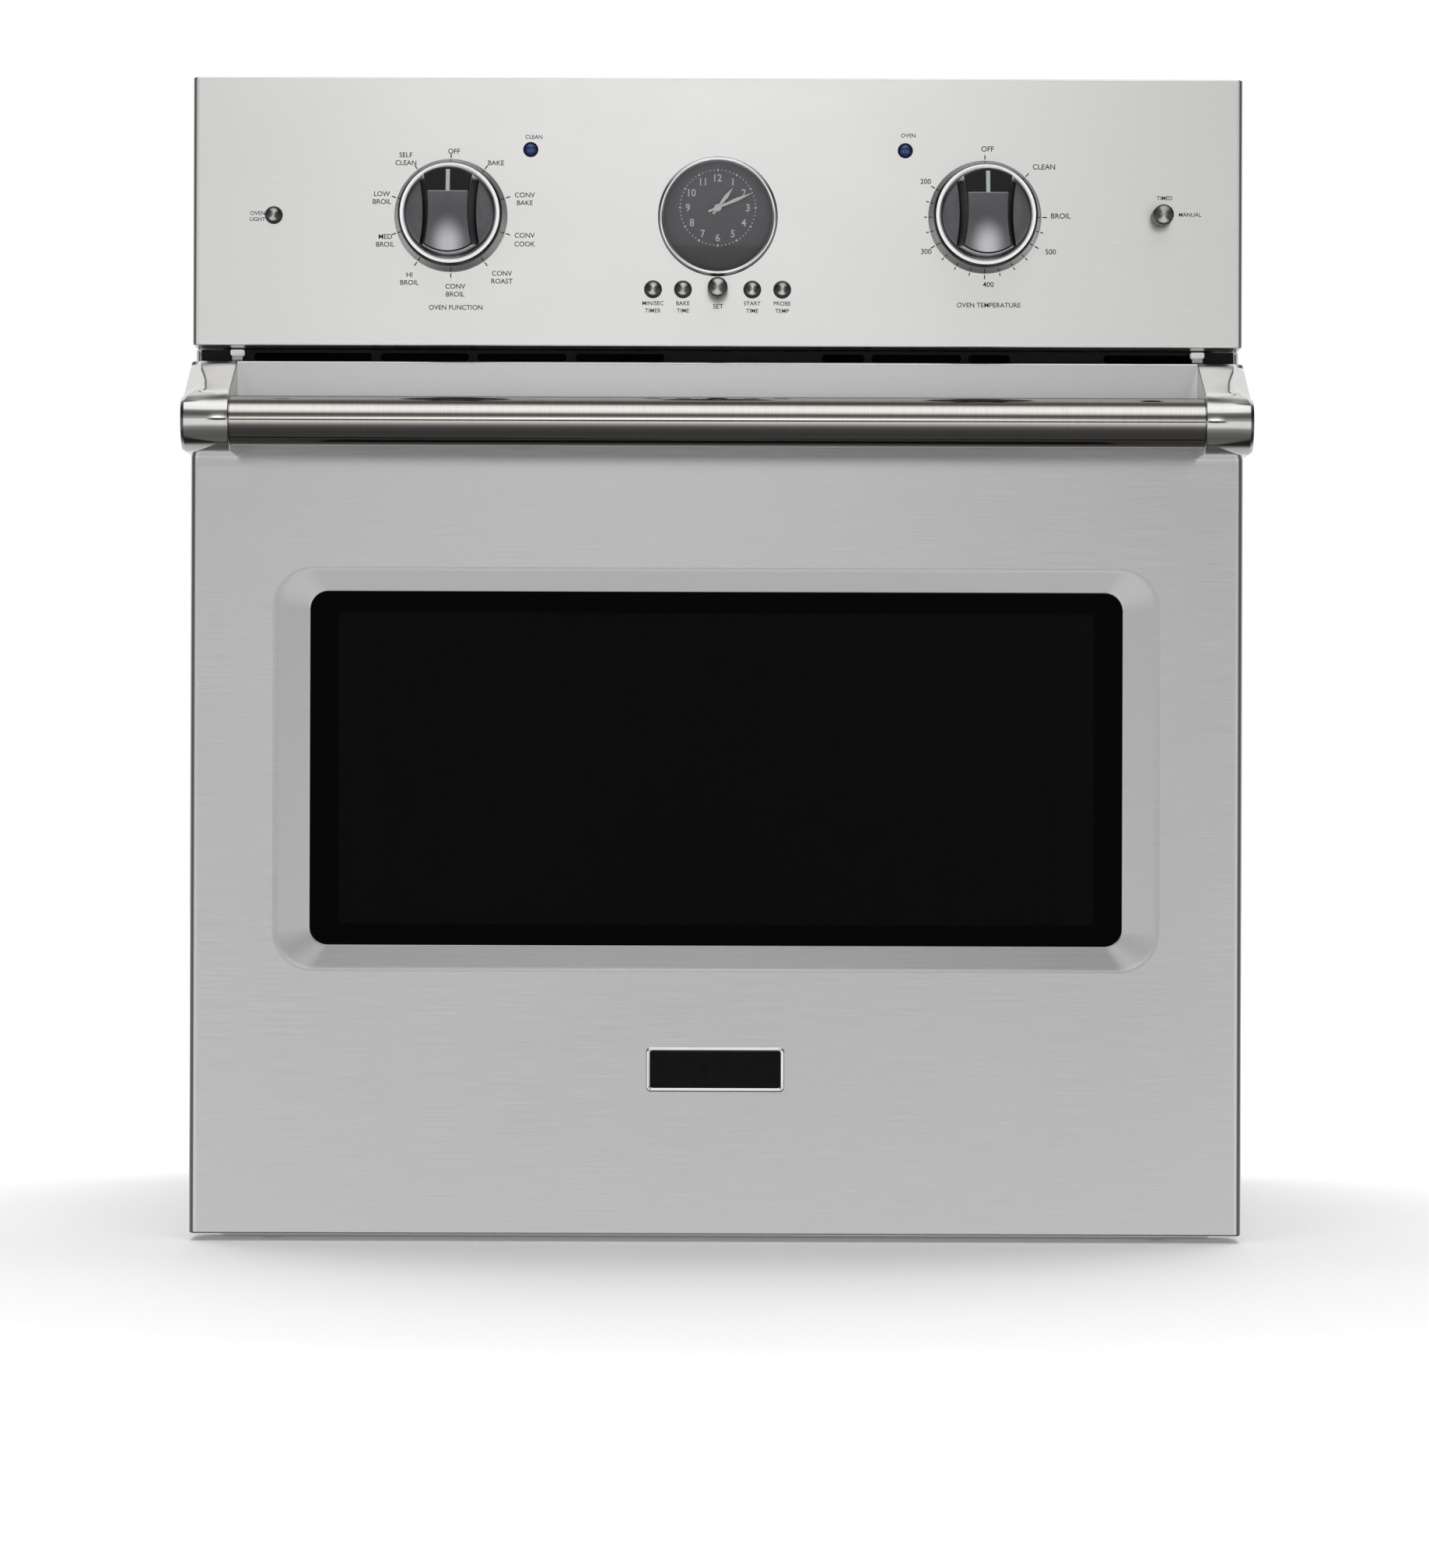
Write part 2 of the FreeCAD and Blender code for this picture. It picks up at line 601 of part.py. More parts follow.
# ---- lamps, sensor, probe socket
lamps = [turned([(0, 0), (14, 1.5), (22, 6), (25, 12), (25, 40), (18, 42), (18, 56), (0, 56)], x, "cav_rear-12", 455)
         for x in (-225, 225)]
keep("oven_lamps", group(*lamps))
keep("temperature_sensor", turned([(0, 0), (1.6, 0.4), (2.4, 2), (2.4, 98.8), (8, 98.8), (8, 100), (2.4, 100), (2.4, 130), (0, 130)],
                                  120, "cav_rear-100", 480))
keep("probe_socket", turned([(2, 0), (5, 0), (6, 1), (6, 5), (11, 5), (11, 7), (8, 7), (8, 30), (2, 30)],
                            "cav_half-7", 60, 450, Rotation(Vector(0, 0, 1), -90)))

gasket_out = rplate("-cav_half-18", "cav_half+18", "door_inner+0.3", "frame_front", "cav_low-16", "cav_top+16", 26)
gasket_in = rplate("-cav_half-7", "cav_half+7", "door_inner-1", "frame_front+1", "cav_low-5", "cav_top+5", 15)
keep("door_gasket", cut(gasket_out, gasket_in))

# ---- control compartment
# floor of the compartment, with the blower's outlet down into the air channel over the insulation
keep("compartment_floor", cut(box("-body_half+gauge", "body_half-gauge", 2, "body_rear", "comp_floor", "comp_floor+gauge"),
                              box(-58, 58, 296, 344, 560, 590)))

# round-ended air slots, four to the left of the middle and four to the right
SLOTS = ((-299, -223), (-217.4, -160.2), (-155, -97.4), (-91.4, -34.2), (67.4, 94.8), (99.4, 157.4), (162, 189), (249, 308.2))
grille_slots = [fuse(box("%g" % (a + 2.6), "%g" % (b - 2.6), -20, -10, 564.6, 569.8),
                     rod("Y", 2.6, "%g" % (a + 2.6), -20, 567.2, 10), rod("Y", 2.6, "%g" % (b - 2.6), -20, 567.2, 10))
                for a, b in SLOTS]
grille_box = cut(box(-333, 333, -14, -3, 562.6, 571.6), box(-331.8, 331.8, -12.8, 5, 563.8, 570.4), *grille_slots)
keep("vent_grille", grille_box)

# blower housing: a scroll box open below at its front, where the air leaves through the floor
blower_shell = cut(fuse(box(-66, 66, 290, 466, "comp_floor+gauge", 632),
                        box(-66, -58, 392, 408, 631, 652), box(58, 66, 392, 408, 631, 652),
                        box(-66, 66, 392, 408, 650, 652), rod("Z", 26, 0, "blow_y", 652, 34)),
                   box(-64.8, 64.8, 291.2, 464.8, "comp_floor+2*gauge", 630.8),
                   box(-58, 58, 296, 344, 560, 590),
                   rod("Z", 34, 0, "blow_y", 625, 10),
                   rod("Z", "shaft_bore", 0, "blow_y", 640, 40))
keep("blower_housing", blower_shell)
wheel = new_body("Wheel")
wheel.Placement = Placement(Vector(), Rotation(Vector(1, 0, 0), 90))
place(wheel, 0, "blow_y", 579)
doc.recompute()
wsk = polygon(flat_sketch(wheel, "XY_Plane"), [(0, 0), (52, 0), (52, 1.5), (12, 1.5), (12, 12), ("shaft_rad", 12),
                                              ("shaft_rad", 96), (0, 96)])
wrev = wheel.newObject("PartDesign::Revolution", uid("Disc"))
wrev.Profile = wsk
wrev.ReferenceAxis = (wsk, ["V_Axis"])
wrev.Angle = 360
doc.recompute()
wblade = add_pad(wheel, "XZ_Plane", [(-0.8, 38), (0.8, 38), (0.8, 51.5), (-0.8, 51.5)], 42, True)
doc.recompute()
polar(wheel, wblade, 20)
keep("blower_wheel", wheel)

jbox = fuse(cut(box(190, 294, 520, "body_rear-0.2", 640, 720), box(191.2, 292.8, 521.2, "body_rear-1.4", 641.2, 718.8)),
            rod("Y", "conduit_rad+2.9", "conduit_x", "body_rear-1.4", "conduit_z", 3.4),
            rod("Y", "conduit_rad+5.5", "conduit_x", "body_rear-8", "conduit_z", 7))
keep("junction_box", cut(jbox, rod("Y", "conduit_rad", "conduit_x", 575, "conduit_z", 30)))

latch_arm = cut(fuse(rod("Z", 7, 0, 30, 543.5, 3), box(0, 44, 26, 34, 543.5, 546.5), box(38, 44, 20, 34, 543.5, 546.5)),
                rod("Z", "shaft_bore", 0, 30, 530, 30))
keep("latch_hook", latch_arm)

REAR_SCREWS = [(x, z) for x in (-300, 300) for z in (40, 200, 380, 560, 700)]
screws = [turned([(0, 0), (3.2, 0.6), (3.8, 2), (1.8, 2), (1.8, 9), (0, 9)], x, "body_rear+gauge+2", z,
                 Rotation(Vector(0, 0, 1), 180)) for x, z in REAR_SCREWS]
keep("chassis_screws", group(*screws))

# ================================================================ control panel
fascia = cut(vplate("front_half", "panel_front", "panel_back", "panel_low", "panel_top", "panel_round"),
             vplate("front_half-gauge", "panel_front+gauge", "panel_back+5", "panel_low+gauge", "panel_top-gauge",
                    "panel_round-gauge"),
             rod("Y", "clock_bore", 0, -60, "dial_z", 40),
             *[rod("Y", 8, x, -60, "dial_z", 40) for x in ("dial_x", "-dial_x")],
             *[rod("Y", "lamp_rad+0.1", x, -60, "lamp_z", 40) for x in ("lamp_x", "-lamp_x")],
             *[rod("Y", "key_hole", x, -60, "key_z", 40) for x in ("key_outer", "-key_outer", "key_inner", "-key_inner")],
             rod("Y", "key_hole", "light_x", -60, "dial_z", 40),
             rod("Y", 3.6, "mode_x", -60, "dial_z", 40),
             rod("Y", 3.6, 0, -60, "key_z", 40))
keep("control_panel", fascia)

# knob bezels: conical skirt with a raised ring round the knob
bezels = [turned([(29.5, 1.2), (29.9, 0.3), (30.4, 0), (31.2, 0.3), (31.8, 1.4), (32.3, 3.2), (33.2, 4.4), (36.2, 20),
                  (8, 20), (8, 18.4), (29.5, 18.4)], x, -60, "dial_z") for x in ("-dial_x", "dial_x")]
keep("knob_bezels", group(*bezels))


def main_knob(x):
    """Round skirt, grip bar with hollow sides, and the shaft behind."""
    skirt = turned([(0, 22), (27.2, 22), (28.5, 22.5), ("knob_skirt", 23.6), ("knob_skirt", 41), (24, 41), (24, 30), (6, 30),
                    (6, 41), ("shaft_rad", 41), ("shaft_rad", 62), (0, 62)], x, "knob_front", "dial_z")
    bar = turned([(0, 0), (25.2, 0), (26.4, 0.5), ("knob_grip", 1.6), ("knob_grip", 23), (0, 23)], x, "knob_front", "dial_z")
    scoops = [rod("Y", "grip_scoop", "%s%s(grip_waist+grip_scoop)" % (x, sg), "knob_front-5", "dial_z", 27) for sg in ("+", "-")]
    groove = box("%s-1.3" % x, "%s+1.3" % x, "knob_front-1", "knob_front+0.6", "dial_z+9", "dial_z+21.8")
    return cut(fuse(skirt, cut(bar, *scoops)), groove)


keep("function_knob", main_knob("-dial_x"))
keep("temperature_knob", main_knob("dial_x"))

# ---- clock
keep("clock_bezel", turned([("dial_rad+0.1", 1.4), (35.9, 0.4), (36.6, 0), (37.3, 0.4), ("clock_rim", 1.4), ("clock_rim", 3.5),
                            ("clock_neck", 3.5), ("clock_neck", 9), ("dial_rad+0.1", 9)], 0, "panel_front-3.5", "dial_z"))
keep("clock_lens", turned([(0, 0), (33, 0), ("dial_rad", 0.7), ("dial_rad", 1.8), (0, 1.8)], 0, "panel_front-2", "dial_z"))
keep("clock_dial", cut(turned([(0, 0), ("dial_rad", 0), ("dial_rad", 1), (0, 1)], 0, "panel_front+3.8", "dial_z"),
                       rod("Y", 1.8, 0, -45, "hand_z", 20)))
can = cut(fuse(cut(rod("Y", 34, 0, "panel_front+4.8", "dial_z", 21.2), rod("Y", 33, 0, "panel_front+3", "dial_z", 21.8)),
               rod("Y", 6, 0, "panel_front+5.2", "hand_z", 20.8)),
          rod("Y", 1.55, 0, "panel_front+4", "hand_z", 8), rod("Y", 1.0, 0, "panel_front+3", "hand_z", 30))
keep("clock_housing", can)


def hand(length, width, tail, hub, y, thick, bore, tube, back, turn):
    """A pointer on its arbor; it points along +Z before it is turned to the hour."""
    body = new_body("Hand")
    body.Placement = Placement(Vector(), Rotation(Vector(0, 1, 0), turn))
    place(body, 0, y, "hand_z")
    doc.recompute()
    pts = [(hub, 0), (hub, thick), (tube, thick), (tube, back), (bore, back), (bore, 0)]
    sk = polygon(flat_sketch(body, "XY_Plane"), pts)
    rev = body.newObject("PartDesign::Revolution", uid("HandHub"))
    rev.Profile = sk
    rev.ReferenceAxis = (sk, ["V_Axis"])
    rev.Angle = 360
    doc.recompute()
    w = width / 2.0
    add_pad(body, "XZ_Plane", [(-w * 0.6, hub - 0.4), (w * 0.6, hub - 0.4), (w, length * 0.55), (0, length), (-w, length * 0.55)],
            thick, True)
    doc.recompute()
    add_pad(body, "XZ_Plane", [(-w * 0.6, -tail), (w * 0.6, -tail), (w * 0.6, -hub + 0.4), (-w * 0.6, -hub + 0.4)], thick, True)
    doc.recompute()
    return body


keep("hour_hand", hand(16.0, 2.6, 5.0, 2.4, "panel_front+2.6", 0.5, 1.0, 1.5, 7.5, 37))
keep("minute_hand", hand(24.6, 2.2, 6.5, 2.0, "panel_front+1.6", 0.5, 0, 0.95, 20, 67))

# ---- indicator lenses
keep("indicator_lenses", group(*[
    turned([(0, 0), (1.6, 0.15), (3.0, 0.6), (4.0, 1.4), ("lamp_rad", 2.4), ("lamp_rad", 9), (0, 9)], x, "panel_front-2.4", "lamp_z")
    for x in ("-lamp_x", "lamp_x")]))


def button(x, z):
    """Cap, retaining flange behind the fascia and the stem that reaches the switch."""
    return turned([(0, 0.1), (3.6, 0), (4.5, 0.35), ("key_rad", 1.0), ("key_rad", 7.6), (6.4, 7.6), (6.4, 8.6), (2, 8.6),
                   (2, 11.8), (0, 11.8)], x, "key_front", z)


keep("light_button", button("light_x", "dial_z"))
keep("minute_timer_button", button("-key_outer", "key_z"))
keep("bake_time_button", button("-key_inner", "key_z"))
keep("start_time_button", button("key_inner", "key_z"))
keep("probe_temp_button", button("key_outer", "key_z"))


def small_knob(x, z, r, front, long_back):
    return turned([(0, 0.1), (r - 1.2, 0), (r - 0.3, 0.5), (r, 1.4), (r + 0.2, 17), (r + 1.5, 18.2), (r + 1.5, -front - 41),
                   ("shaft_rad", -front - 41), ("shaft_rad", long_back), (0, long_back)], x, front, z)


keep("set_knob", small_knob(0, "key_z", 6.3, -61, 42))
keep("mode_knob", small_knob("mode_x", "dial_z", 6.5, -62, 43))

# ---- switches and boards behind the fascia
main_board = fuse(box(-70, 70, -24, -22.4, 592, 620),
                  *[box("%s-3.5" % x, "%s+3.5" % x, -30, -23.9, "key_z-3.5", "key_z+3.5")
                    for x in ("-key_outer", "-key_inner", "key_inner", "key_outer")],
                  box(-7, 7, -32, -23.9, "key_z-7", "key_z+7"),
                  box(-66, -52, -22.5, -12, 596, 616), box(50, 66, -22.5, -16, 598, 614))
left_board = fuse(box("light_x-16", "light_x+16", -24, -22.4, "dial_z-14", "dial_z+14"),
                  box("light_x-3.5", "light_x+3.5", -30, -23.9, "dial_z-3.5", "dial_z+3.5"))
right_board = fuse(box("mode_x-16", "mode_x+16", -24, -22.4, "dial_z-14", "dial_z+14"),
                   box("mode_x-7", "mode_x+7", -32, -23.9, "dial_z-7", "dial_z+7"))
keep("control_boards", group(cut(main_board, rod("Y", "shaft_bore", 0, -35, "key_z", 30)), left_board,
                             cut(right_board, rod("Y", "shaft_bore", "mode_x", -35, "dial_z", 30))))
keep("rotary_switches", group(*[
    fuse(turned([("shaft_bore", 0), (7.5, 0), (7.5, 4), (17, 4), (17, 20), ("shaft_bore", 20)], x, "panel_front+gauge", "dial_z"),
         box("%s-14" % x, "%s+14" % x, -34, -19, "dial_z+15", "dial_z+22"))
    for x in ("-dial_x", "dial_x")]))

# ================================================================ door
notches = [box("%shinge_x-5" % s, "%shinge_x+5" % s, -25.5, -5, 0, 27) for s in ("-1*", "")]
shell = vplate("front_half", "door_front", "door_back", "door_low", "door_top", "door_round")
hollow = vplate("front_half-gauge", "door_front+gauge", "door_back+5", "door_low+gauge", "door_top-gauge", "door_round-gauge")
rim = rplate("-bev_half-2", "bev_half+2", "door_front+0.4", "glass_front", "bev_low-2", "bev_top+2", "bev_round+2")
funnel = loft(rr_sketch("bev_half", "bev_low", "bev_top", "bev_round", "door_front"),
              rr_sketch("win_half", "win_low", "win_top", "win_round", "door_front+bev_deep"))
sight = rplate("-win_half", "win_half", "door_front-5", "glass_front+5", "win_low", "win_top", "win_round")
skin = cut(fuse(cut(shell, hollow), rim), funnel, sight, *notches)
keep("door_skin", skin)

keep("door_outer_glass", rplate("-win_half-10", "win_half+10", "glass_front", "glass_front+4", "win_low-10", "win_top+10", 6))
keep("door_inner_glass", rplate(-218, 218, -16.8, "door_back+0.2", 192, 408, 6))
liner_plate = rplate("-front_half+4", "front_half-4", "door_back+0.2", "door_inner", 9, 557, 6)
liner_lips = cut(rplate("-front_half+8", "front_half-8", -30, "door_back+0.4", 12, 554, 6),
                 rplate("-front_half+9.2", "front_half-9.2", -31, "door_back+0.2", 13.2, 552.8, 4.8))
inner = cut(fuse(liner_plate, liner_lips), rplate(-200, 200, -40, 0, 208, 392, 14),
            box(-22, 36, -20, 0, 541.5, 549.5),
            box("-hinge_x-7.3", "-hinge_x+7.3", -40, -5, 0, 27), box("hinge_x-7.3", "hinge_x+7.3", -40, -5, 0, 27),
            *[box("%shinge_x-8" % s, "%shinge_x+8" % s, -40, "door_back+0.2", 0, 30) for s in ("-1*", "")])
keep("door_inner_panel", inner)
pack = cut(rplate(-324, 324, -36, -17.2, 16, 549, 5), rplate(-272, 272, -50, -5, 176, 428, 8),
           *[box("%shinge_x-9" % s, "%shinge_x+9" % s, -50, -5, 0, 124) for s in ("-1*", "")],
           box(-26, 40, -26, 0, 536, 556),
           *[rod("Y", 6, "%s321.5" % s, -50, "bar_z", 40) for s in ("-1*", "")])
keep("door_insulation", pack)

# ---- handle
keep("handle_bar", fuse(rod("X", "bar_rad", "-bar_half", "bar_y", "bar_z", "2*bar_half"),
                        rod("X", 8, "-bar_half-12", "bar_y", "bar_z", "2*bar_half+24")))


def bracket(sign):
    """Side profile: sloping top face, round nose about the bar, flat underside."""
    body = new_body("Bracket")
    x = "bar_half" if sign > 0 else "-front_half"
    place(body, x, "bar_y-wrap_rad", "bar_z-wrap_rad")
    doc.recompute()
    sk = flat_sketch(body, "YZ_Plane")
    R = val("wrap_rad")
    dy = val("door_front") - val("bar_y")
    dz = val("door_top") - val("bar_z")
    d = math.hypot(dy, dz)
    ang = math.atan2(dz, dy) + math.acos(R / d)
    T = Vector(R + R * math.cos(ang), R + R * math.sin(ang), 0)
    P = Vector(R + dy, R + dz, 0)
    sk.addGeometry([Part.LineSegment(P, T),
                    Part.ArcOfCircle(Part.Circle(Vector(R, R, 0), Vector(0, 0, 1), R), ang, 1.5 * math.pi),
                    Part.LineSegment(Vector(R, 0, 0), Vector(P.x, 0, 0)),
                    Part.LineSegment(Vector(P.x, 0, 0), P)], False)
    C = Sketcher.Constraint
    sk.addConstraint([C("Tangent", 0, 2, 1, 1), C("Tangent", 1, 2, 2, 1), C("Coincident", 2, 2, 3, 1),
                      C("Coincident", 3, 2, 0, 1), C("Vertical", 3), C("Horizontal", 2), C("PointOnObject", 2, 1, -1)])
    k = sk.addConstraint(C("Radius", 1, R))
    sk.setExpression("Constraints[%d]" % k, E("wrap_rad"))
    k = sk.addConstraint(C("DistanceX", -1, 1, 1, 3, R))
    sk.setExpression("Constraints[%d]" % k, E("wrap_rad"))
    k = sk.addConstraint(C("DistanceX", -1, 1, 0, 1, P.x))
    sk.setExpression("Constraints[%d]" % k, E("wrap_rad+door_front-bar_y"))
    k = sk.addConstraint(C("DistanceY", -1, 1, 0, 1, P.y))
    sk.setExpression("Constraints[%d]" % k, E("wrap_rad+door_top-bar_z"))
    pad = body.newObject("PartDesign::Pad", uid("Pad"))
    pad.Profile = sk
    pad.setExpression("Length", E("front_half-bar_half"))
    doc.recompute()
    if body.Shape.BoundBox.XMax > val("front_half") + 1 or body.Shape.BoundBox.XMin < -val("front_half") - 1 or \
            (sign > 0 and body.Shape.BoundBox.XMin < val("bar_half") - 1) or \
            (sign < 0 and body.Shape.BoundBox.XMax > -val("bar_half") + 1):
        pad.Reversed = True
        doc.recompute()
    socket = rod("X", 8, "bar_half-1" if sign > 0 else "-bar_half-12", "bar_y", "bar_z", 13)
    stud = rod("Y", 2.5, "%s321.5" % ("" if sign > 0 else "-1*"), -75, "bar_z", 40)
    return cut(body, socket, stud)


keep("handle_brackets", group(bracket(-1), bracket(1)))
skin_now = PARTS[[p[0] for p in PARTS].index("door_skin")]
PARTS.remove(skin_now)
skin_now[1].Label = "skin_blank"
keep("door_skin", cut(skin_now[1], *[rod("Y", 2.5, "%s321.5" % s, -75, "bar_z", 40) for s in ("-1*", "")]))

keep("badge_plate", rplate("-badge_half", "badge_half", "door_front-1.6", "door_front", "badge_z-badge_rise",
                           "badge_z+badge_rise", 3.2))

# ---- door screws: two handle bolts through the skin, four panel screws a side
bolts = [turned([(0, 0), (2.5, 0), (2.5, 26.2), (5.2, 26.2), (5.2, 30), (0, 30)], "%s321.5" % s, -75, "bar_z") for s in ("-1*", "")]
panel_screws = [turned([(0, 0), (2.6, 0.5), (3.2, 1.6), (0, 1.6)], x, "door_inner+1.6", z, Rotation(Vector(0, 0, 1), 180))
                for x in (-322, 322) for z in (60, 220, 380, 530)]
keep("door_screws", group(*bolts, *panel_screws))

# ---- hinges: pin and channel on the door, claw and receiver on the chassis
channels, claws, receivers = [], [], []
for s in (-1, 1):
    c = "%shinge_x" % ("-1*" if s < 0 else "")
    ch = cut(box(c + "-7", c + "+7", -45, -17.2, 6, 120), box(c + "-5.5", c + "+5.5", -43.5, -10, 0, 118.5))
    ears = [box(c + a, c + b, -22, -12.9, 6.5, 24) for a, b in (("-7", "-5.5"), ("+5.5", "+7"))]
    pin = rod("X", "pin_rad", c + "-7", "pin_y", "pin_z", 14)
    channels.append(fuse(ch, pin, *ears))
    eye = rod("X", 7.5, c + "-3", "pin_y", "pin_z", 6)
    tail = box(c + "-3", c + "+3", "pin_y", 45, 10, 20)
    hook = box(c + "-3", c + "+3", 30, 45, 6, 12)
    claws.append(cut(fuse(eye, tail), rod("X", "eye_bore", c + "-5", "pin_y", "pin_z", 10)))
    receivers.append(cut(box(c + "-6", c + "+6", "frame_front+gauge", 60, 4, 30), box(c + "-3", c + "+3", -10, 58, 10, 20)))
keep("hinge_bodies", group(*channels))
keep("hinge_claws", group(*claws))
keep("hinge_receivers", group(*receivers))

# ================================================================ check and write
doc.recompute()
bad = []
for o in doc.Objects:
    state = " ".join(o.State)
    if "Invalid" in state or "Error" in state:
        bad.append("%s (%s): %s" % (o.Name, o.Label, state))
for label, o in PARTS:
    if o.Shape.isNull() or not o.Shape.isValid() or not o.Shape.Solids:
        bad.append("%s has no valid solid" % label)
if bad:
    raise RuntimeError("\n".join(bad))

os.makedirs("parts", exist_ok=True)
for name in os.listdir("parts"):
    if name.endswith(".step"):
        os.remove(os.path.join("parts", name))
for label, o in PARTS:
    o.Shape.exportStep(os.path.join("parts", label + ".step"))
    bb = o.Shape.BoundBox
    print("%-22s %2d solids  X %8.1f %8.1f  Y %7.1f %7.1f  Z %7.1f %7.1f  %10.0f mm3" % (
        label, len(o.Shape.Solids), bb.XMin, bb.XMax, bb.YMin, bb.YMax, bb.ZMin, bb.ZMax, o.Shape.Volume))
print("%d nodes" % len(PARTS))
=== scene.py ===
import bpy, bmesh, math
from mathutils import Vector, Matrix


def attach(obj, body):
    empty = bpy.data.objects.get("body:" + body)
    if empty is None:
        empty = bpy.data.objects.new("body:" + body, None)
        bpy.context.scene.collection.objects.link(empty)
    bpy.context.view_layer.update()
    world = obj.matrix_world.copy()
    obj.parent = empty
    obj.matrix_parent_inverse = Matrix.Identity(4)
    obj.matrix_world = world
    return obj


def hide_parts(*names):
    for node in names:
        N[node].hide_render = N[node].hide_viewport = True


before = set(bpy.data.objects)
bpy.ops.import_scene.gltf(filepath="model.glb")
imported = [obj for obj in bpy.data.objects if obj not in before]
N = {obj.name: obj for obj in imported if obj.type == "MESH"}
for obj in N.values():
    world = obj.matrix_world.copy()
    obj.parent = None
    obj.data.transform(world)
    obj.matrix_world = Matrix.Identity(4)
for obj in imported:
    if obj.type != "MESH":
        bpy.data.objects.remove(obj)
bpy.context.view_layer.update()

MM = 0.001
scene = bpy.context.scene
scene.view_settings.view_transform = "Standard"
scene.view_settings.look = "None"


# ------------------------------------------------------------------ node helpers
class Mat:
    """A material under construction: a Principled shader and short calls for its node network."""

    def __init__(self, name, color=(0.5, 0.5, 0.5), metallic=0.0, rough=0.5, **sockets):
        self.m = bpy.data.materials.new(name)
        self.m.use_nodes = True
        self.t = self.m.node_tree
        self.p = self.t.nodes["Principled BSDF"]
        self.out = self.t.nodes["Material Output"]
        self.set(self.p, "Base Color", (*color, 1.0))
        self.set(self.p, "Metallic", metallic)
        self.set(self.p, "Roughness", rough)
        for k, v in sockets.items():
            self.set(self.p, k.replace("_", " "), v)
        self._co = None

    def set(self, node, socket, value):
        node.inputs[socket].default_value = value

    def node(self, kind, **props):
        n = self.t.nodes.new(kind)
        for k, v in props.items():
            setattr(n, k, v)
        return n

    def link(self, a, b):
        self.t.links.new(a, b)

    def co(self, sx=1.0, sy=1.0, sz=1.0, rot=(0, 0, 0)):
        if self._co is None:
            self._co = self.node("ShaderNodeTexCoord").outputs["Object"]
        m = self.node("ShaderNodeMapping")
        self.link(self._co, m.inputs["Vector"])
        m.inputs["Scale"].default_value = (sx, sy, sz)
        m.inputs["Rotation"].default_value = rot
        return m.outputs["Vector"]

    def noise(self, vec, scale=1.0, detail=2.0, rough=0.5, distortion=0.0):
        n = self.node("ShaderNodeTexNoise")
        self.link(vec, n.inputs["Vector"])
        n.inputs["Scale"].default_value = scale
        n.inputs["Detail"].default_value = detail
        n.inputs["Roughness"].default_value = rough
        n.inputs["Distortion"].default_value = distortion
        return n.outputs["Fac"]

    def voronoi(self, vec, scale=1.0, out="Color", feature="F1", randomness=1.0):
        n = self.node("ShaderNodeTexVoronoi", feature=feature)
        self.link(vec, n.inputs["Vector"])
        n.inputs["Scale"].default_value = scale
        n.inputs["Randomness"].default_value = randomness
        return n.outputs[out]

    def math(self, op, a, b=None, c=None, clamp=False):
        n = self.node("ShaderNodeMath", operation=op, use_clamp=clamp)
        for i, v in enumerate((a, b, c)):
            if v is None:
                continue
            if isinstance(v, (int, float)):
                n.inputs[i].default_value = v
            else:
                self.link(v, n.inputs[i])
        return n.outputs[0]

    def remap(self, fac, lo, hi, a=0.0, b=1.0, smooth=False):
        n = self.node("ShaderNodeMapRange", interpolation_type="SMOOTHSTEP" if smooth else "LINEAR")
        self.link(fac, n.inputs["Value"])
        for k, v in (("From Min", a), ("From Max", b), ("To Min", lo), ("To Max", hi)):
            n.inputs[k].default_value = v
        return n.outputs["Result"]

    def ramp(self, fac, stops, mode="LINEAR"):
        n = self.node("ShaderNodeValToRGB")
        self.link(fac, n.inputs["Fac"])
        n.color_ramp.interpolation = mode
        e = n.color_ramp.elements
        while len(e) > 1:
            e.remove(e[-1])
        e[0].position, e[0].color = stops[0][0], (*stops[0][1], 1.0)
        for pos, col in stops[1:]:
            k = e.new(pos)
            k.color = (*col, 1.0)
        return n.outputs["Color"]

    def mix(self, fac, a, b, blend="MIX"):
        n = self.node("ShaderNodeMix", data_type="RGBA", blend_type=blend)
        for sock, v in ((n.inputs[0], fac), (n.inputs[6], a), (n.inputs[7], b)):
            if isinstance(v, (int, float)):
                sock.default_value = v
            elif isinstance(v, tuple):
                sock.default_value = (*v, 1.0)
            else:
                self.link(v, sock)
        return n.outputs[2]

    def split(self, vec):
        n = self.node("ShaderNodeSeparateXYZ")
        self.link(vec, n.inputs[0])
        return n.outputs

    def bump(self, height, strength=0.2, distance=0.0005, chain=None):
        n = self.node("ShaderNodeBump")
        n.inputs["Strength"].default_value = strength
        n.inputs["Distance"].default_value = distance
        self.link(height, n.inputs["Height"])
        if chain is not None:
            self.link(chain, n.inputs["Normal"])
        self.link(n.outputs["Normal"], self.p.inputs["Normal"])
        return n.outputs["Normal"]

    def rough(self, out):
        self.link(out, self.p.inputs["Roughness"])

    def color(self, out):
        self.link(out, self.p.inputs["Base Color"])

    def edge(self, lo=0.50, hi=0.56):
        g = self.node("ShaderNodeNewGeometry")
        return self.remap(g.outputs["Pointiness"], 0.0, 1.0, lo, hi, smooth=True)

    def tangent(self, v):
        """A brushing direction fixed to the piece: the highlight spreads along v."""
        c = self.node("ShaderNodeCombineXYZ")
        for i in range(3):
            c.inputs[i].default_value = v[i]
        t = self.node("ShaderNodeVectorTransform", vector_type="VECTOR", convert_from="OBJECT", convert_to="WORLD")
        self.link(c.outputs[0], t.inputs[0])
        self.link(t.outputs[0], self.p.inputs["Tangent"])


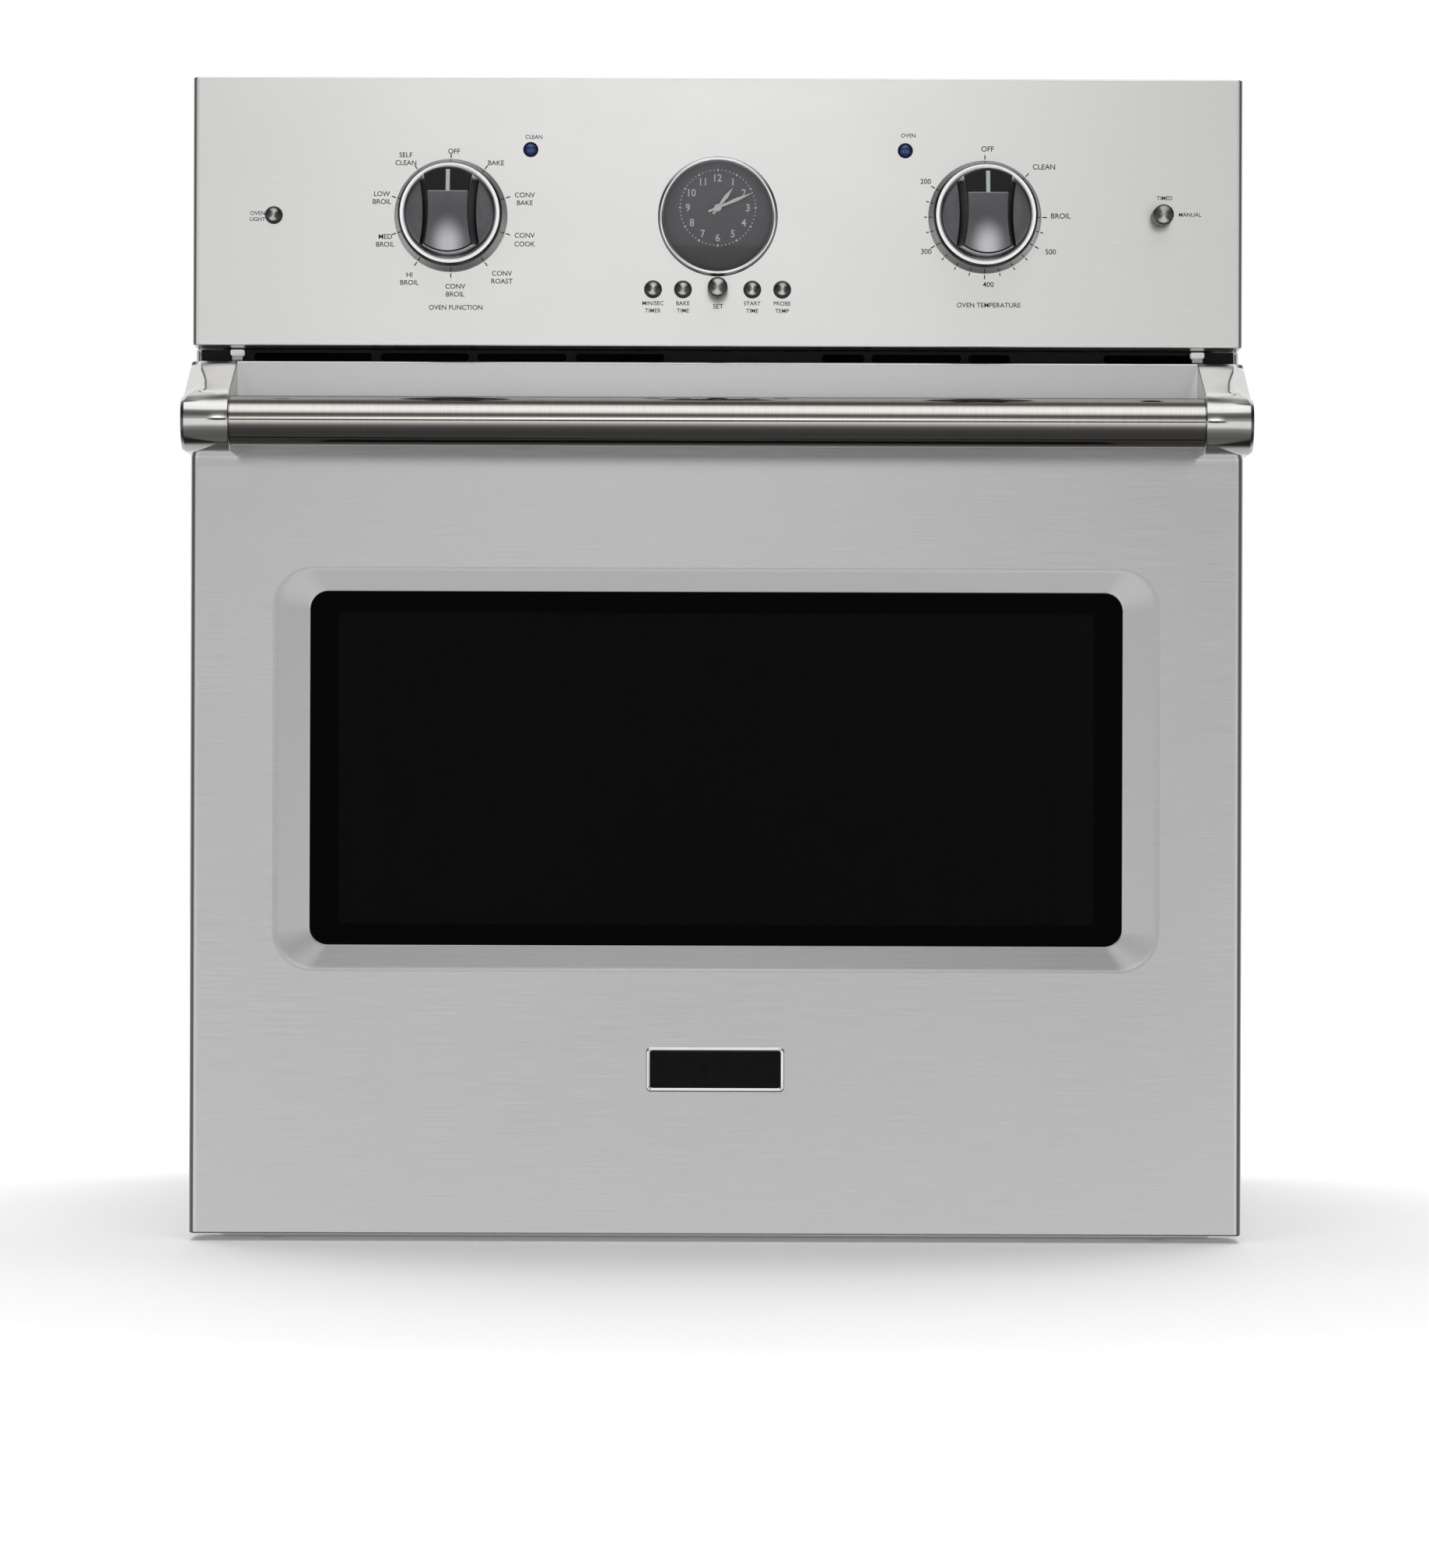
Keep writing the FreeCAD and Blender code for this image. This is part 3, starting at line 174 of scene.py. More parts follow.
# ------------------------------------------------------------------ materials
def brushed(name, base, rough=0.30, aniso=0.7, spread=(0, 0, 1), grain=(9, 900, 900), contrast=0.10, warm=0.0, bump=0.10):
    """Brushed stainless: long fine scratches along the grain, faint cloudiness."""
    a = Mat(name, base, 1.0, rough, Anisotropic=aniso)
    fine = a.noise(a.co(*grain), 1.0, 3.0, 0.65)
    finer = a.noise(a.co(grain[0] * 3.1, grain[1] * 2.3, grain[2] * 2.3), 1.0, 2.0, 0.6)
    cloud = a.noise(a.co(5, 9, 9), 1.0, 3.0, 0.55)
    grainy = a.math("ADD", a.math("MULTIPLY", fine, 0.6), a.math("MULTIPLY", finer, 0.4))
    lo = tuple(c * (1 - contrast) for c in base)
    hi = tuple(min(1.0, c * (1 + contrast)) for c in base)
    col = a.ramp(grainy, [(0.34, lo), (0.66, hi)])
    col = a.mix(a.remap(cloud, 0.0, 0.10, 0.3, 0.7), col, tuple(min(1, c * 1.12) for c in base))
    a.color(col)
    a.rough(a.math("ADD", a.remap(grainy, rough - 0.025, rough + 0.03, 0.3, 0.7), a.remap(cloud, -0.01, 0.015, 0.3, 0.7)))
    a.bump(grainy, bump, 0.00012)
    a.tangent(spread)
    return a.m


def spun(name, base, rough=0.22, aniso=0.75):
    """Turned metal face: circular tool marks about the piece's own Y axis, and a painted reflection in its colour:
    bright wedges and a bright middle as painted highlights, dark sides as painted shade.
    """
    a = Mat(name, base, 1.0, rough, Anisotropic=aniso)
    t = a.node("ShaderNodeTangent", direction_type="RADIAL", axis="Y")
    a.link(t.outputs[0], a.p.inputs["Tangent"])
    a.set(a.p, "Anisotropic Rotation", 0.25)
    g = a.node("ShaderNodeTexCoord").outputs["Generated"]
    s = a.split(g)
    dx, dz = a.math("SUBTRACT", s[0], 0.5), a.math("SUBTRACT", s[2], 0.5)
    r = a.math("SQRT", a.math("ADD", a.math("MULTIPLY", dx, dx), a.math("MULTIPLY", dz, dz)))
    ring = a.math("SINE", a.math("MULTIPLY", r, 260.0))
    cloud = a.noise(a.co(180, 180, 180), 1.0, 2.0)
    # painted reflection: bright wedges above and below, a bright middle and dark sides, baked into the base colour
    ang = a.math("ARCTAN2", dx, dz)
    painted_bowtie = a.math("ADD", 0.5, a.math("MULTIPLY", 0.5, a.math("COSINE", a.math("MULTIPLY", a.math("SUBTRACT", ang, 0.12), 2.0))))
    painted_bowtie = a.remap(painted_bowtie, 0.0, 1.0, 0.30, 1.0, smooth=True)
    painted_bowtie = a.math("MULTIPLY", painted_bowtie, a.remap(r, 1.0, 0.0, 0.34, 0.45, smooth=True))
    painted_hub_highlight = a.remap(r, 0.55, 0.0, 0.02, 0.24, smooth=True)
    painted_shine = a.math("MAXIMUM", painted_bowtie, painted_hub_highlight)
    tone = a.mix(painted_shine, tuple(c * 0.10 for c in base), tuple(min(1.0, c * 1.5) for c in base))
    a.color(a.mix(a.remap(cloud, 0.0, 0.3, 0.35, 0.65), tone, tuple(c * 0.40 for c in base)))
    a.rough(a.math("ADD", a.remap(ring, rough - 0.03, rough + 0.04, -1, 1), a.remap(cloud, -0.02, 0.03, 0.3, 0.7)))
    a.bump(ring, 0.05, 0.00005)
    return a.m


def polished(name, base, rough=0.08, smear=0.05, scale=60):
    """Polished or satin plated metal: slight smears in its gloss and paler rubbed edges."""
    a = Mat(name, base, 1.0, rough)
    n = a.noise(a.co(scale, scale, scale), 1.0, 4.0, 0.6)
    fine = a.noise(a.co(scale * 14, scale * 14, scale * 14), 1.0, 2.0, 0.5)
    a.color(a.mix(a.edge(0.53, 0.60), a.mix(a.remap(n, 0.0, 0.6, 0.35, 0.7), base, tuple(c * 0.90 for c in base)),
                  tuple(min(1.0, c * 1.3 + 0.03) for c in base)))
    a.rough(a.math("ADD", a.remap(n, rough - smear * 0.4, rough + smear, 0.3, 0.7), a.remap(fine, -0.01, 0.02, 0.3, 0.7)))
    a.bump(fine, 0.03, 0.00005)
    return a.m


def knob_metal(name, base, bright):
    """Smoky chrome of a grip's face, with light painted into its colour: a soft painted highlight low on the grip and a
    thin painted highlight line where its top slopes back.
    """
    a = Mat(name, base, 1.0, 0.10)
    s = a.split(a.node("ShaderNodeTexCoord").outputs["Generated"])
    n = a.noise(a.co(90, 90, 90), 1.0, 3.0, 0.6)
    fine = a.noise(a.co(900, 900, 900), 1.0, 2.0, 0.5)
    dx = a.math("DIVIDE", a.math("SUBTRACT", s[0], 0.5), 0.225)
    dz = a.math("DIVIDE", a.math("SUBTRACT", s[2], 0.13), 0.34)
    d = a.math("SQRT", a.math("ADD", a.math("MULTIPLY", dx, dx), a.math("MULTIPLY", dz, dz)))
    # painted highlights: a soft bright spot low on the face and a thin bright line at the top of its slope, both mixed
    # towards the highlight colour
    painted_glow_spot = a.remap(d, 1.0, 0.0, 0.12, 1.0, smooth=True)
    painted_crest_line = a.math("MULTIPLY", a.remap(s[2], 0.0, 0.55, 0.684, 0.690, smooth=True), a.remap(a.math("ABSOLUTE", a.math("SUBTRACT", s[0], 0.5)), 1.0, 0.0, 0.20, 0.23, smooth=True))
    tone = a.mix(a.remap(n, 0.0, 0.5, 0.3, 0.7), base, tuple(c * 0.86 for c in base))
    a.color(a.mix(a.math("MAXIMUM", painted_glow_spot, painted_crest_line), tone, bright))
    a.rough(a.math("ADD", a.remap(n, 0.24, 0.29, 0.3, 0.7), a.remap(fine, -0.01, 0.02, 0.3, 0.7)))
    a.bump(fine, 0.02, 0.00004)
    return a.m


def painted(name, base, rough=0.45, speck=0.1, coat=0.0, peel=0.05, scale=220, spec=0.5):
    """Painted or moulded surface: fine orange peel, faint tone variation."""
    a = Mat(name, base, 0.0, rough, Coat_Weight=coat, Specular_IOR_Level=spec)
    n = a.noise(a.co(scale, scale, scale), 1.0, 3.0, 0.6)
    big = a.noise(a.co(12, 12, 12), 1.0, 2.0, 0.5)
    a.color(a.mix(a.remap(big, 0.0, speck * 4, 0.3, 0.7), base, tuple(c * 0.75 for c in base)))
    a.rough(a.remap(n, rough - 0.06, rough + 0.08, 0.3, 0.7))
    a.bump(n, peel, 0.0002)
    return a.m


def galvanised(name, base=(0.50, 0.52, 0.53), rough=0.42):
    """Zinc-coated sheet: crystalline spangle, each grain its own tone and gloss."""
    a = Mat(name, base, 1.0, rough)
    v = a.voronoi(a.co(85, 85, 85), 1.0, "Color")
    v2 = a.voronoi(a.co(210, 210, 210), 1.0, "Color")
    tone = a.math("ADD", a.math("MULTIPLY", a.split(v)[0], 0.7), a.math("MULTIPLY", a.split(v2)[1], 0.3))
    cloud = a.noise(a.co(4, 4, 4), 1.0, 4.0, 0.55)
    col = a.ramp(tone, [(0.1, tuple(c * 0.90 for c in base)), (0.5, base), (0.9, tuple(min(1, c * 1.09) for c in base))])
    col = a.mix(a.remap(cloud, 0.0, 0.35, 0.4, 0.75), col, tuple(c * 0.84 for c in base))
    a.color(col)
    a.rough(a.math("ADD", a.remap(tone, rough - 0.06, rough + 0.06), a.remap(cloud, -0.03, 0.05, 0.3, 0.7)))
    a.bump(a.noise(a.co(300, 300, 300), 1.0, 2.0), 0.05, 0.0001)
    return a.m


def enamel(name, base=(0.020, 0.024, 0.040)):
    """Dark blue-grey porcelain enamel with white specks, glossy over a slightly uneven fired surface."""
    a = Mat(name, base, 0.0, 0.16, Coat_Weight=0.3, Coat_Roughness=0.08)
    d = a.voronoi(a.co(420, 420, 420), 1.0, "Distance")
    d2 = a.voronoi(a.co(900, 900, 900), 1.0, "Distance")
    keep = a.remap(a.noise(a.co(260, 260, 260), 1.0, 2.0), 0.0, 1.0, 0.52, 0.56, smooth=True)
    speck = a.math("MULTIPLY", a.remap(d, 1.0, 0.0, 0.10, 0.17, smooth=True), keep)
    fine = a.remap(d2, 0.5, 0.0, 0.08, 0.14, smooth=True)
    fac = a.math("MAXIMUM", speck, fine)
    big = a.noise(a.co(7, 7, 7), 1.0, 3.0)
    base_mix = a.mix(a.remap(big, 0.0, 0.6, 0.35, 0.7), base, tuple(c * 1.5 for c in base))
    a.color(a.mix(fac, base_mix, (0.50, 0.53, 0.56)))
    a.rough(a.remap(big, 0.12, 0.24, 0.3, 0.7))
    a.bump(a.noise(a.co(90, 90, 90), 1.0, 2.0), 0.06, 0.0004)
    return a.m


M = {}
# The panel, door and recess are one brushed stainless in three brightnesses: painted light, the panel lightest, the
# door darker, and the sloping recess round the window darker still as painted shade.
M["panel"] = brushed("brushed_panel", (0.94, 0.935, 0.92), rough=0.24, aniso=0.6, grain=(22, 1900, 1900), contrast=0.035, bump=0.035)
M["door"] = brushed("brushed_door", (0.70, 0.70, 0.70), rough=0.24, aniso=0.6, grain=(20, 1800, 1800), contrast=0.045, bump=0.035)
M["recess"] = brushed("brushed_recess_painted_shade", (0.61, 0.61, 0.61), rough=0.24, aniso=0.6, grain=(20, 1800, 1800), contrast=0.045, bump=0.035)
M["trim"] = brushed("brushed_trim", (0.86, 0.86, 0.85), rough=0.30, spread=(1, 0, 0), grain=(900, 900, 10), contrast=0.06)
def bar_bands(a_name="bar_steel"):
    """Turned bar steel with its reflections painted round its girth: painted shade on top and underneath, painted
    highlight bands along its front.
    """
    a = Mat(a_name, (0.62, 0.60, 0.565), 1.0, 0.09, Anisotropic=0.3)
    s = a.split(a.co(1, 1, 1))
    # painted reflection bands: colour set by height on the bar, dark on top and underneath, bright bands along its
    # front
    t = a.remap(s[2], 0.0, 1.0, 0.5049, 0.5361)
    painted_bands = a.ramp(t, [(0.0, (0.30,) * 3), (0.05, (0.40,) * 3), (0.40, (0.46,) * 3), (0.47, (1.0,) * 3), (0.54, (1.0,) * 3), (0.59, (0.66,) * 3),
                      (0.64, (0.74,) * 3), (0.69, (1.0,) * 3), (0.79, (1.0,) * 3), (0.86, (0.42,) * 3), (1.0, (0.28,) * 3)], "EASE")
    fine = a.noise(a.co(700, 60, 60), 1.0, 3.0, 0.6)
    cloud = a.noise(a.co(14, 40, 40), 1.0, 2.0)
    tone = a.mix(a.remap(fine, 0.0, 1.0, 0.3, 0.7), (0.59, 0.57, 0.535), (0.65, 0.63, 0.595))
    a.color(a.mix(1.0, tone, painted_bands, "MULTIPLY"))
    a.rough(a.math("ADD", a.remap(fine, 0.075, 0.115, 0.3, 0.7), a.remap(cloud, -0.01, 0.02, 0.3, 0.7)))
    a.bump(fine, 0.02, 0.00006)
    a.tangent((1, 0, 0))
    return a.m


M["bar"] = bar_bands()
M["bracket"] = polished("bracket_steel", (0.66, 0.655, 0.64), rough=0.07, smear=0.03, scale=90)
M["chrome"] = polished("bright_chrome", (0.88, 0.88, 0.89), rough=0.05, smear=0.04)
M["clip"] = painted("clip_plated_painted_glow", (0.88, 0.88, 0.87), rough=0.25, speck=0.02, peel=0.02)
# painted light: the plated clips are given a white glow to look brighter, though they are no lamp
M["clip"].node_tree.nodes["Principled BSDF"].inputs["Emission Color"].default_value = (1, 1, 1, 1)
M["clip"].node_tree.nodes["Principled BSDF"].inputs["Emission Strength"].default_value = 0.25
M["ring"] = painted("bezel_ring_painted_glow", (0.90, 0.91, 0.92), rough=0.25, speck=0.02, peel=0.02)
# painted light: the white bezel rings are given a slight glow, though they are no lamp
M["ring"].node_tree.nodes["Principled BSDF"].inputs["Emission Color"].default_value = (1, 1, 1, 1)
M["ring"].node_tree.nodes["Principled BSDF"].inputs["Emission Strength"].default_value = 0.16
M["bezel"] = polished("bezel_dark", (0.17, 0.17, 0.165), rough=0.16, smear=0.06)
# the second colour is the painted highlight colour of the grips
M["knob"] = knob_metal("knob_dark_chrome", (0.15, 0.145, 0.155), (0.60, 0.59, 0.62))
M["knob_top"] = painted("knob_gloss_black", (0.004, 0.004, 0.005), rough=0.14, spec=0.3)
M["knob_wall"] = painted("knob_black", (0.004, 0.004, 0.005), rough=0.16, coat=0.3)
M["spun"] = spun("spun_steel", (0.56, 0.55, 0.53), rough=0.26, aniso=0.92)
M["hinge"] = polished("hinge_steel", (0.42, 0.42, 0.42), rough=0.30, smear=0.10, scale=40)
M["screw"] = polished("screw_steel", (0.50, 0.50, 0.50), rough=0.26, smear=0.10, scale=200)
M["wire"] = polished("rack_wire", (0.62, 0.62, 0.62), rough=0.16, smear=0.10, scale=120)
M["zinc"] = galvanised("zinc_sheet")
M["zinc_dark"] = galvanised("zinc_sheet_inner", (0.40, 0.41, 0.42), 0.48)
M["enamel"] = enamel("porcelain_enamel")
M["black"] = painted("black_sheet", (0.006, 0.006, 0.0075), rough=0.38, spec=0.16)
M["black_plastic"] = painted("black_plastic", (0.015, 0.015, 0.016), rough=0.50)
M["print"] = painted("dark_print", (0.028, 0.026, 0.025), rough=0.55, spec=0.2)
M["white_print"] = painted("pale_print", (0.72, 0.73, 0.75), rough=0.6, spec=0.2)
M["hand"] = painted("hand_paint", (0.78, 0.78, 0.78), rough=0.4)
M["line"] = painted("indicator_line", (0.42, 0.46, 0.47), rough=0.35)
M["motor"] = painted("motor_can", (0.10, 0.10, 0.11), rough=0.40)
M["fan"] = polished("fan_aluminium", (0.60, 0.60, 0.60), rough=0.28, smear=0.10, scale=50)
M["ceramic"] = painted("ceramic", (0.72, 0.70, 0.66), rough=0.50)


def make_board():
    a = Mat("circuit_board", (0.02, 0.12, 0.05), 0.0, 0.35)
    v = a.voronoi(a.co(220, 220, 220), 1.0, "Color", randomness=0.4)
    a.color(a.ramp(a.split(v)[0], [(0.2, (0.012, 0.09, 0.035)), (0.6, (0.02, 0.14, 0.055)), (0.97, (0.35, 0.28, 0.10))]))
    a.bump(a.split(v)[0], 0.1, 0.0002)
    return a.m


def make_element():
    a = Mat("element_sheath", (0.05, 0.045, 0.042), 0.7, 0.5)
    n = a.noise(a.co(90, 90, 90), 1.0, 5.0, 0.6)
    a.color(a.ramp(n, [(0.3, (0.022, 0.021, 0.022)), (0.55, (0.06, 0.052, 0.046)), (0.75, (0.12, 0.085, 0.06))]))
    a.rough(a.remap(n, 0.38, 0.62, 0.3, 0.7))
    a.bump(n, 0.1, 0.0002)
    return a.m


def make_wool():
    a = Mat("glass_wool", (0.62, 0.50, 0.22), 0.0, 0.95, Sheen_Weight=0.4)
    n = a.noise(a.co(140, 140, 140), 1.0, 6.0, 0.7, 0.6)
    a.color(a.ramp(n, [(0.3, (0.40, 0.30, 0.11)), (0.6, (0.66, 0.54, 0.26)), (0.8, (0.80, 0.70, 0.42))]))
    a.bump(n, 0.8, 0.003)
    return a.m


def make_gasket():
    a = Mat("gasket_braid", (0.20, 0.20, 0.21), 0.0, 0.85, Sheen_Weight=0.2)
    s = a.split(a.co(1, 1, 1))
    p = a.math("SINE", a.math("MULTIPLY", a.math("ADD", a.math("ADD", s[0], s[2]), s[1]), 2300.0))
    q = a.math("SINE", a.math("MULTIPLY", a.math("SUBTRACT", a.math("SUBTRACT", s[0], s[2]), s[1]), 2300.0))
    w = a.math("MULTIPLY", p, q)
    a.color(a.ramp(a.remap(w, 0, 1, -1, 1), [(0.1, (0.09, 0.09, 0.10)), (0.6, (0.24, 0.24, 0.25)), (0.9, (0.34, 0.34, 0.34))]))
    a.bump(w, 0.6, 0.0006)
    return a.m


def make_window():
    """Dark window glass: black fired border, and inside it a fine grid of dots through which a little light passes."""
    a = Mat("window_glass", (0.0035, 0.0035, 0.0040), 0.0, 0.03, Specular_IOR_Level=0.25)
    raw = a.co(1, 1, 1)
    s = a.split(raw)
    pitch = 2 * math.pi / 0.00127
    gx, gz = a.math("COSINE", a.math("MULTIPLY", s[0], pitch)), a.math("COSINE", a.math("MULTIPLY", s[2], pitch))
    dots = a.remap(a.math("ADD", gx, gz), 0.0, 1.0, 0.15, 1.1, smooth=True)
    mx = a.remap(a.math("ABSOLUTE", s[0]), 1.0, 0.0, 0.2405, 0.2425, smooth=True)
    zc = a.math("ABSOLUTE", a.math("SUBTRACT", s[2], 0.3018))
    mz = a.remap(zc, 1.0, 0.0, 0.0985, 0.1005, smooth=True)
    field = a.math("MULTIPLY", mx, mz)
    on = a.math("MULTIPLY", dots, field)
    haze = a.noise(a.co(3, 3, 3), 1.0, 3.0, 0.5)
    a.color(a.mix(on, (0.0022, 0.0022, 0.0026), a.ramp(haze, [(0.3, (0.010, 0.010, 0.011)), (0.7, (0.014, 0.014, 0.015))])))
    a.rough(a.remap(haze, 0.02, 0.05, 0.3, 0.7))
    a.link(a.math("SUBTRACT", 1.0, a.math("MULTIPLY", field, a.remap(dots, 0.22, 0.06))), a.p.inputs["Alpha"])
    return a.m


def make_clear(name="clear_glass", tint=(0.9, 0.93, 0.93), alpha=0.10, rough=0.03):
    a = Mat(name, tint, 0.0, rough, Specular_IOR_Level=0.4)
    n = a.noise(a.co(30, 30, 30), 1.0, 2.0)
    a.rough(a.remap(n, rough * 0.7, rough * 1.6, 0.3, 0.7))
    a.set(a.p, "Alpha", alpha)
    return a.m


def make_dial():
    """Charcoal clock face, a shade lighter above, with a soft fade to the lower rim."""
    a = Mat("dial_face", (0.10, 0.10, 0.11), 0.0, 0.42, Specular_IOR_Level=0.35)
    s = a.split(a.co(1, 1, 1))
    n = a.noise(a.co(500, 500, 500), 1.0, 2.0)
    tone = a.math("ADD", a.remap(s[2], 0.0, 1.0, 0.6205, 0.6915), a.remap(n, -0.02, 0.02, 0.3, 0.7))
    a.color(a.ramp(tone, [(0.0, (0.070, 0.070, 0.071)), (0.22, (0.095, 0.093, 0.091)), (0.27, (0.135, 0.134, 0.145)),
                          (0.6, (0.150, 0.150, 0.163)), (1.0, (0.162, 0.162, 0.176))]))
    a.bump(n, 0.04, 0.0001)
    return a.m


def make_lens():
    a = Mat("lens_blue", (0.012, 0.022, 0.075), 0.0, 0.12, Coat_Weight=0.6, Coat_Roughness=0.05, Specular_IOR_Level=0.5)
    # painted shade: the blue dome darkens to near black towards its rim as it turns away from view
    g = a.node("ShaderNodeLayerWeight")
    g.inputs["Blend"].default_value = 0.35
    n = a.noise(a.co(700, 700, 700), 1.0, 2.0)
    a.color(a.mix(g.outputs["Facing"], a.ramp(n, [(0.3, (0.010, 0.026, 0.12)), (0.7, (0.016, 0.040, 0.17))]), (0.001, 0.001, 0.004)))
    a.bump(n, 0.1, 0.0002)
    return a.m


M["board"] = make_board()
M["element"] = make_element()
M["wool"] = make_wool()
M["gasket"] = make_gasket()
M["window"] = make_window()
# painted shade: the inner door glass is made near black and mostly opaque, standing in for the dark unlit oven behind
# it
M["clear"] = make_clear("inner_door_glass", (0.010, 0.011, 0.012), 0.82, 0.03)
M["lens_glass"] = make_clear("clock_glass", (0.02, 0.02, 0.022), 0.12, 0.02)
M["lamp_glass"] = make_clear("lamp_glass", (0.85, 0.86, 0.84), 0.35, 0.10)
M["dial"] = make_dial()
M["lens"] = make_lens()

NODE_MAT = {
    "panel": ["control_panel"], "door": ["door_skin"], "trim": ["side_trims"], "bar": ["handle_bar"], "bracket": ["handle_brackets"],
    "chrome": ["clock_bezel", "badge_plate"],
    "spun": ["set_knob", "mode_knob", "light_button", "minute_timer_button", "bake_time_button", "start_time_button", "probe_temp_button"],
    "bezel": ["knob_bezels"], "knob": ["function_knob", "temperature_knob"],
    "zinc": ["outer_wrapper", "rear_panel", "base_pan", "junction_box"],
    "zinc_dark": ["compartment_floor", "blower_housing", "hinge_receivers"],
    "enamel": ["oven_liner", "front_frame", "door_inner_panel", "fan_baffle"],
    "wire": ["rack_upper", "rack_middle", "rack_lower", "rack_ladders", "temperature_sensor"],
    "element": ["broil_element", "bake_element", "convection_element"], "hinge": ["hinge_claws", "hinge_bodies", "latch_hook", "probe_socket"],
    "screw": ["chassis_screws", "door_screws"], "wool": ["insulation_wrap", "door_insulation"], "gasket": ["door_gasket"],
    "black": ["vent_grille"], "window": ["door_outer_glass"], "clear": ["door_inner_glass"], "lens_glass": ["clock_lens"],
    "lamp_glass": ["oven_lamps"], "lens": ["indicator_lenses"], "dial": ["clock_dial"], "hand": ["hour_hand", "minute_hand"],
    "black_plastic": ["clock_housing", "rotary_switches"], "motor": ["convection_motor"], "fan": ["convection_fan", "blower_wheel"],
    "board": ["control_boards"],
}
for key, names in NODE_MAT.items():
    for n in names:
        o = N[n]
        o.data.materials.clear()
        o.data.materials.append(M[key])

#SECTION_PIECES
# ------------------------------------------------------------------ mesh helpers (millimetres in, metres out)
from mathutils.geometry import tessellate_polygon


def piece(name, parts, mats, body, replaces=(), angle=32.0, weld=0.0, recalc=True, solidify=None):
    """One object from several (verts, faces, material index) parts; edges sharper than angle stay crisp."""
    me = bpy.data.meshes.new(name)
    verts, faces, mi = [], [], []
    for vs, fs, k in parts:
        b = len(verts)
        verts += [(x * MM, y * MM, z * MM) for x, y, z in vs]
        faces += [tuple(b + i for i in f) for f in fs]
        mi += [k] * len(fs)
    me.from_pydata(verts, [], faces)
    me.polygons.foreach_set("material_index", mi)
    for m in mats:
        me.materials.append(m)
    bm = bmesh.new()
    bm.from_mesh(me)
    if weld:
        bmesh.ops.remove_doubles(bm, verts=bm.verts, dist=weld * MM)
    if recalc:
        bmesh.ops.recalc_face_normals(bm, faces=bm.faces)
    bm.to_mesh(me)
    bm.free()
    me.shade_smooth()
    me.set_sharp_from_angle(angle=math.radians(angle))
    me.update()
    o = bpy.data.objects.new(name, me)
    scene.collection.objects.link(o)
    if solidify:
        s = o.modifiers.new("thickness", "SOLIDIFY")
        s.thickness = solidify * MM
        s.offset = -1
    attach(o, body)
    if replaces:
        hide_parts(*replaces)
    return o


def loft(loops, closed=True, cap0=False, cap1=False):
    n = len(loops[0])
    verts = [v for lp in loops for v in lp]
    faces = []
    for a in range(len(loops) - 1):
        for i in range(n if closed else n - 1):
            j = (i + 1) % n
            faces.append((a * n + i, a * n + j, (a + 1) * n + j, (a + 1) * n + i))
    if cap0:
        faces.append(tuple(range(n)))
    if cap1:
        faces.append(tuple((len(loops) - 1) * n + i for i in range(n)))
    return verts, faces


def used(vs, fs):
    """The vertices that the faces use, renumbered."""
    order = {}
    for f in fs:
        for q in f:
            order.setdefault(q, len(order))
    return [vs[q] for q in order], [tuple(order[q] for q in f) for f in fs]


def lathe(profile, cx=0.0, cy=0.0, cz=0.0, segs=96, axis="Y"):
    """Turned piece: profile points are (radius, distance along the axis)."""
    verts, faces, rows = [], [], []
    for r, a in profile:
        if r < 1e-6:
            rows.append([len(verts)])
            pts = [(0.0, a, 0.0)]
        else:
            rows.append(list(range(len(verts), len(verts) + segs)))
            pts = [(r * math.sin(2 * math.pi * k / segs), a, r * math.cos(2 * math.pi * k / segs)) for k in range(segs)]
        for x, y, z in pts:
            if axis == "X":
                x, y, z = y, x, z
            elif axis == "Z":
                x, y, z = x, z, y
            verts.append((x + cx, y + cy, z + cz))
    for p, q in zip(rows, rows[1:]):
        if len(p) == 1 and len(q) == 1:
            continue
        for k in range(segs):
            m = (k + 1) % segs
            if len(p) == 1:
                faces.append((p[0], q[m], q[k]))
            elif len(q) == 1:
                faces.append((p[k], p[m], q[0]))
            else:
                faces.append((p[k], p[m], q[m], q[k]))
    return verts, faces


def arc(cr, cy, r, a0, a1, n=8):
    """Points of a rounded edge on a profile, angles in degrees from the radius direction towards +y."""
    return [(cr + r * math.cos(math.radians(a0 + (a1 - a0) * i / n)), cy + r * math.sin(math.radians(a0 + (a1 - a0) * i / n)))
            for i in range(n + 1)]


def rrect(hx, z0, z1, r, n=14, cx=0.0):
    """Rounded rectangle outline, same point count whatever the size: n+1 points a corner."""
    pts = []
    for (sx, sz, a0) in ((1, 1, 0), (-1, 1, 90), (-1, -1, 180), (1, -1, 270)):
        ox, oz = cx + sx * (hx - r), (z1 - r) if sz > 0 else (z0 + r)
        for i in range(n + 1):
            a = math.radians(a0 + 90.0 * i / n)
            pts.append((ox + r * math.cos(a), oz + r * math.sin(a)))
    return pts


def circle(cx, cz, r, n=48):
    return [(cx + r * math.cos(2 * math.pi * k / n), cz + r * math.sin(2 * math.pi * k / n)) for k in range(n)]


def sheet_with_holes(outer, holes, y):
    """Flat face in the plane y with holes in it."""
    loops = [[Vector((x, z, 0)) for x, z in outer]] + [[Vector((x, z, 0)) for x, z in h] for h in holes]
    flat = [v for lp in loops for v in lp]
    tris = tessellate_polygon(loops)
    return [(v.x, y, v.y) for v in flat], [tuple(t) for t in tris]


def at(loop, y):
    return [(x, y, z) for x, z in loop]


def holewall(loop, y0, y1, r=0.5):
    return loft([at(loop, y0), at(loop, y1)])


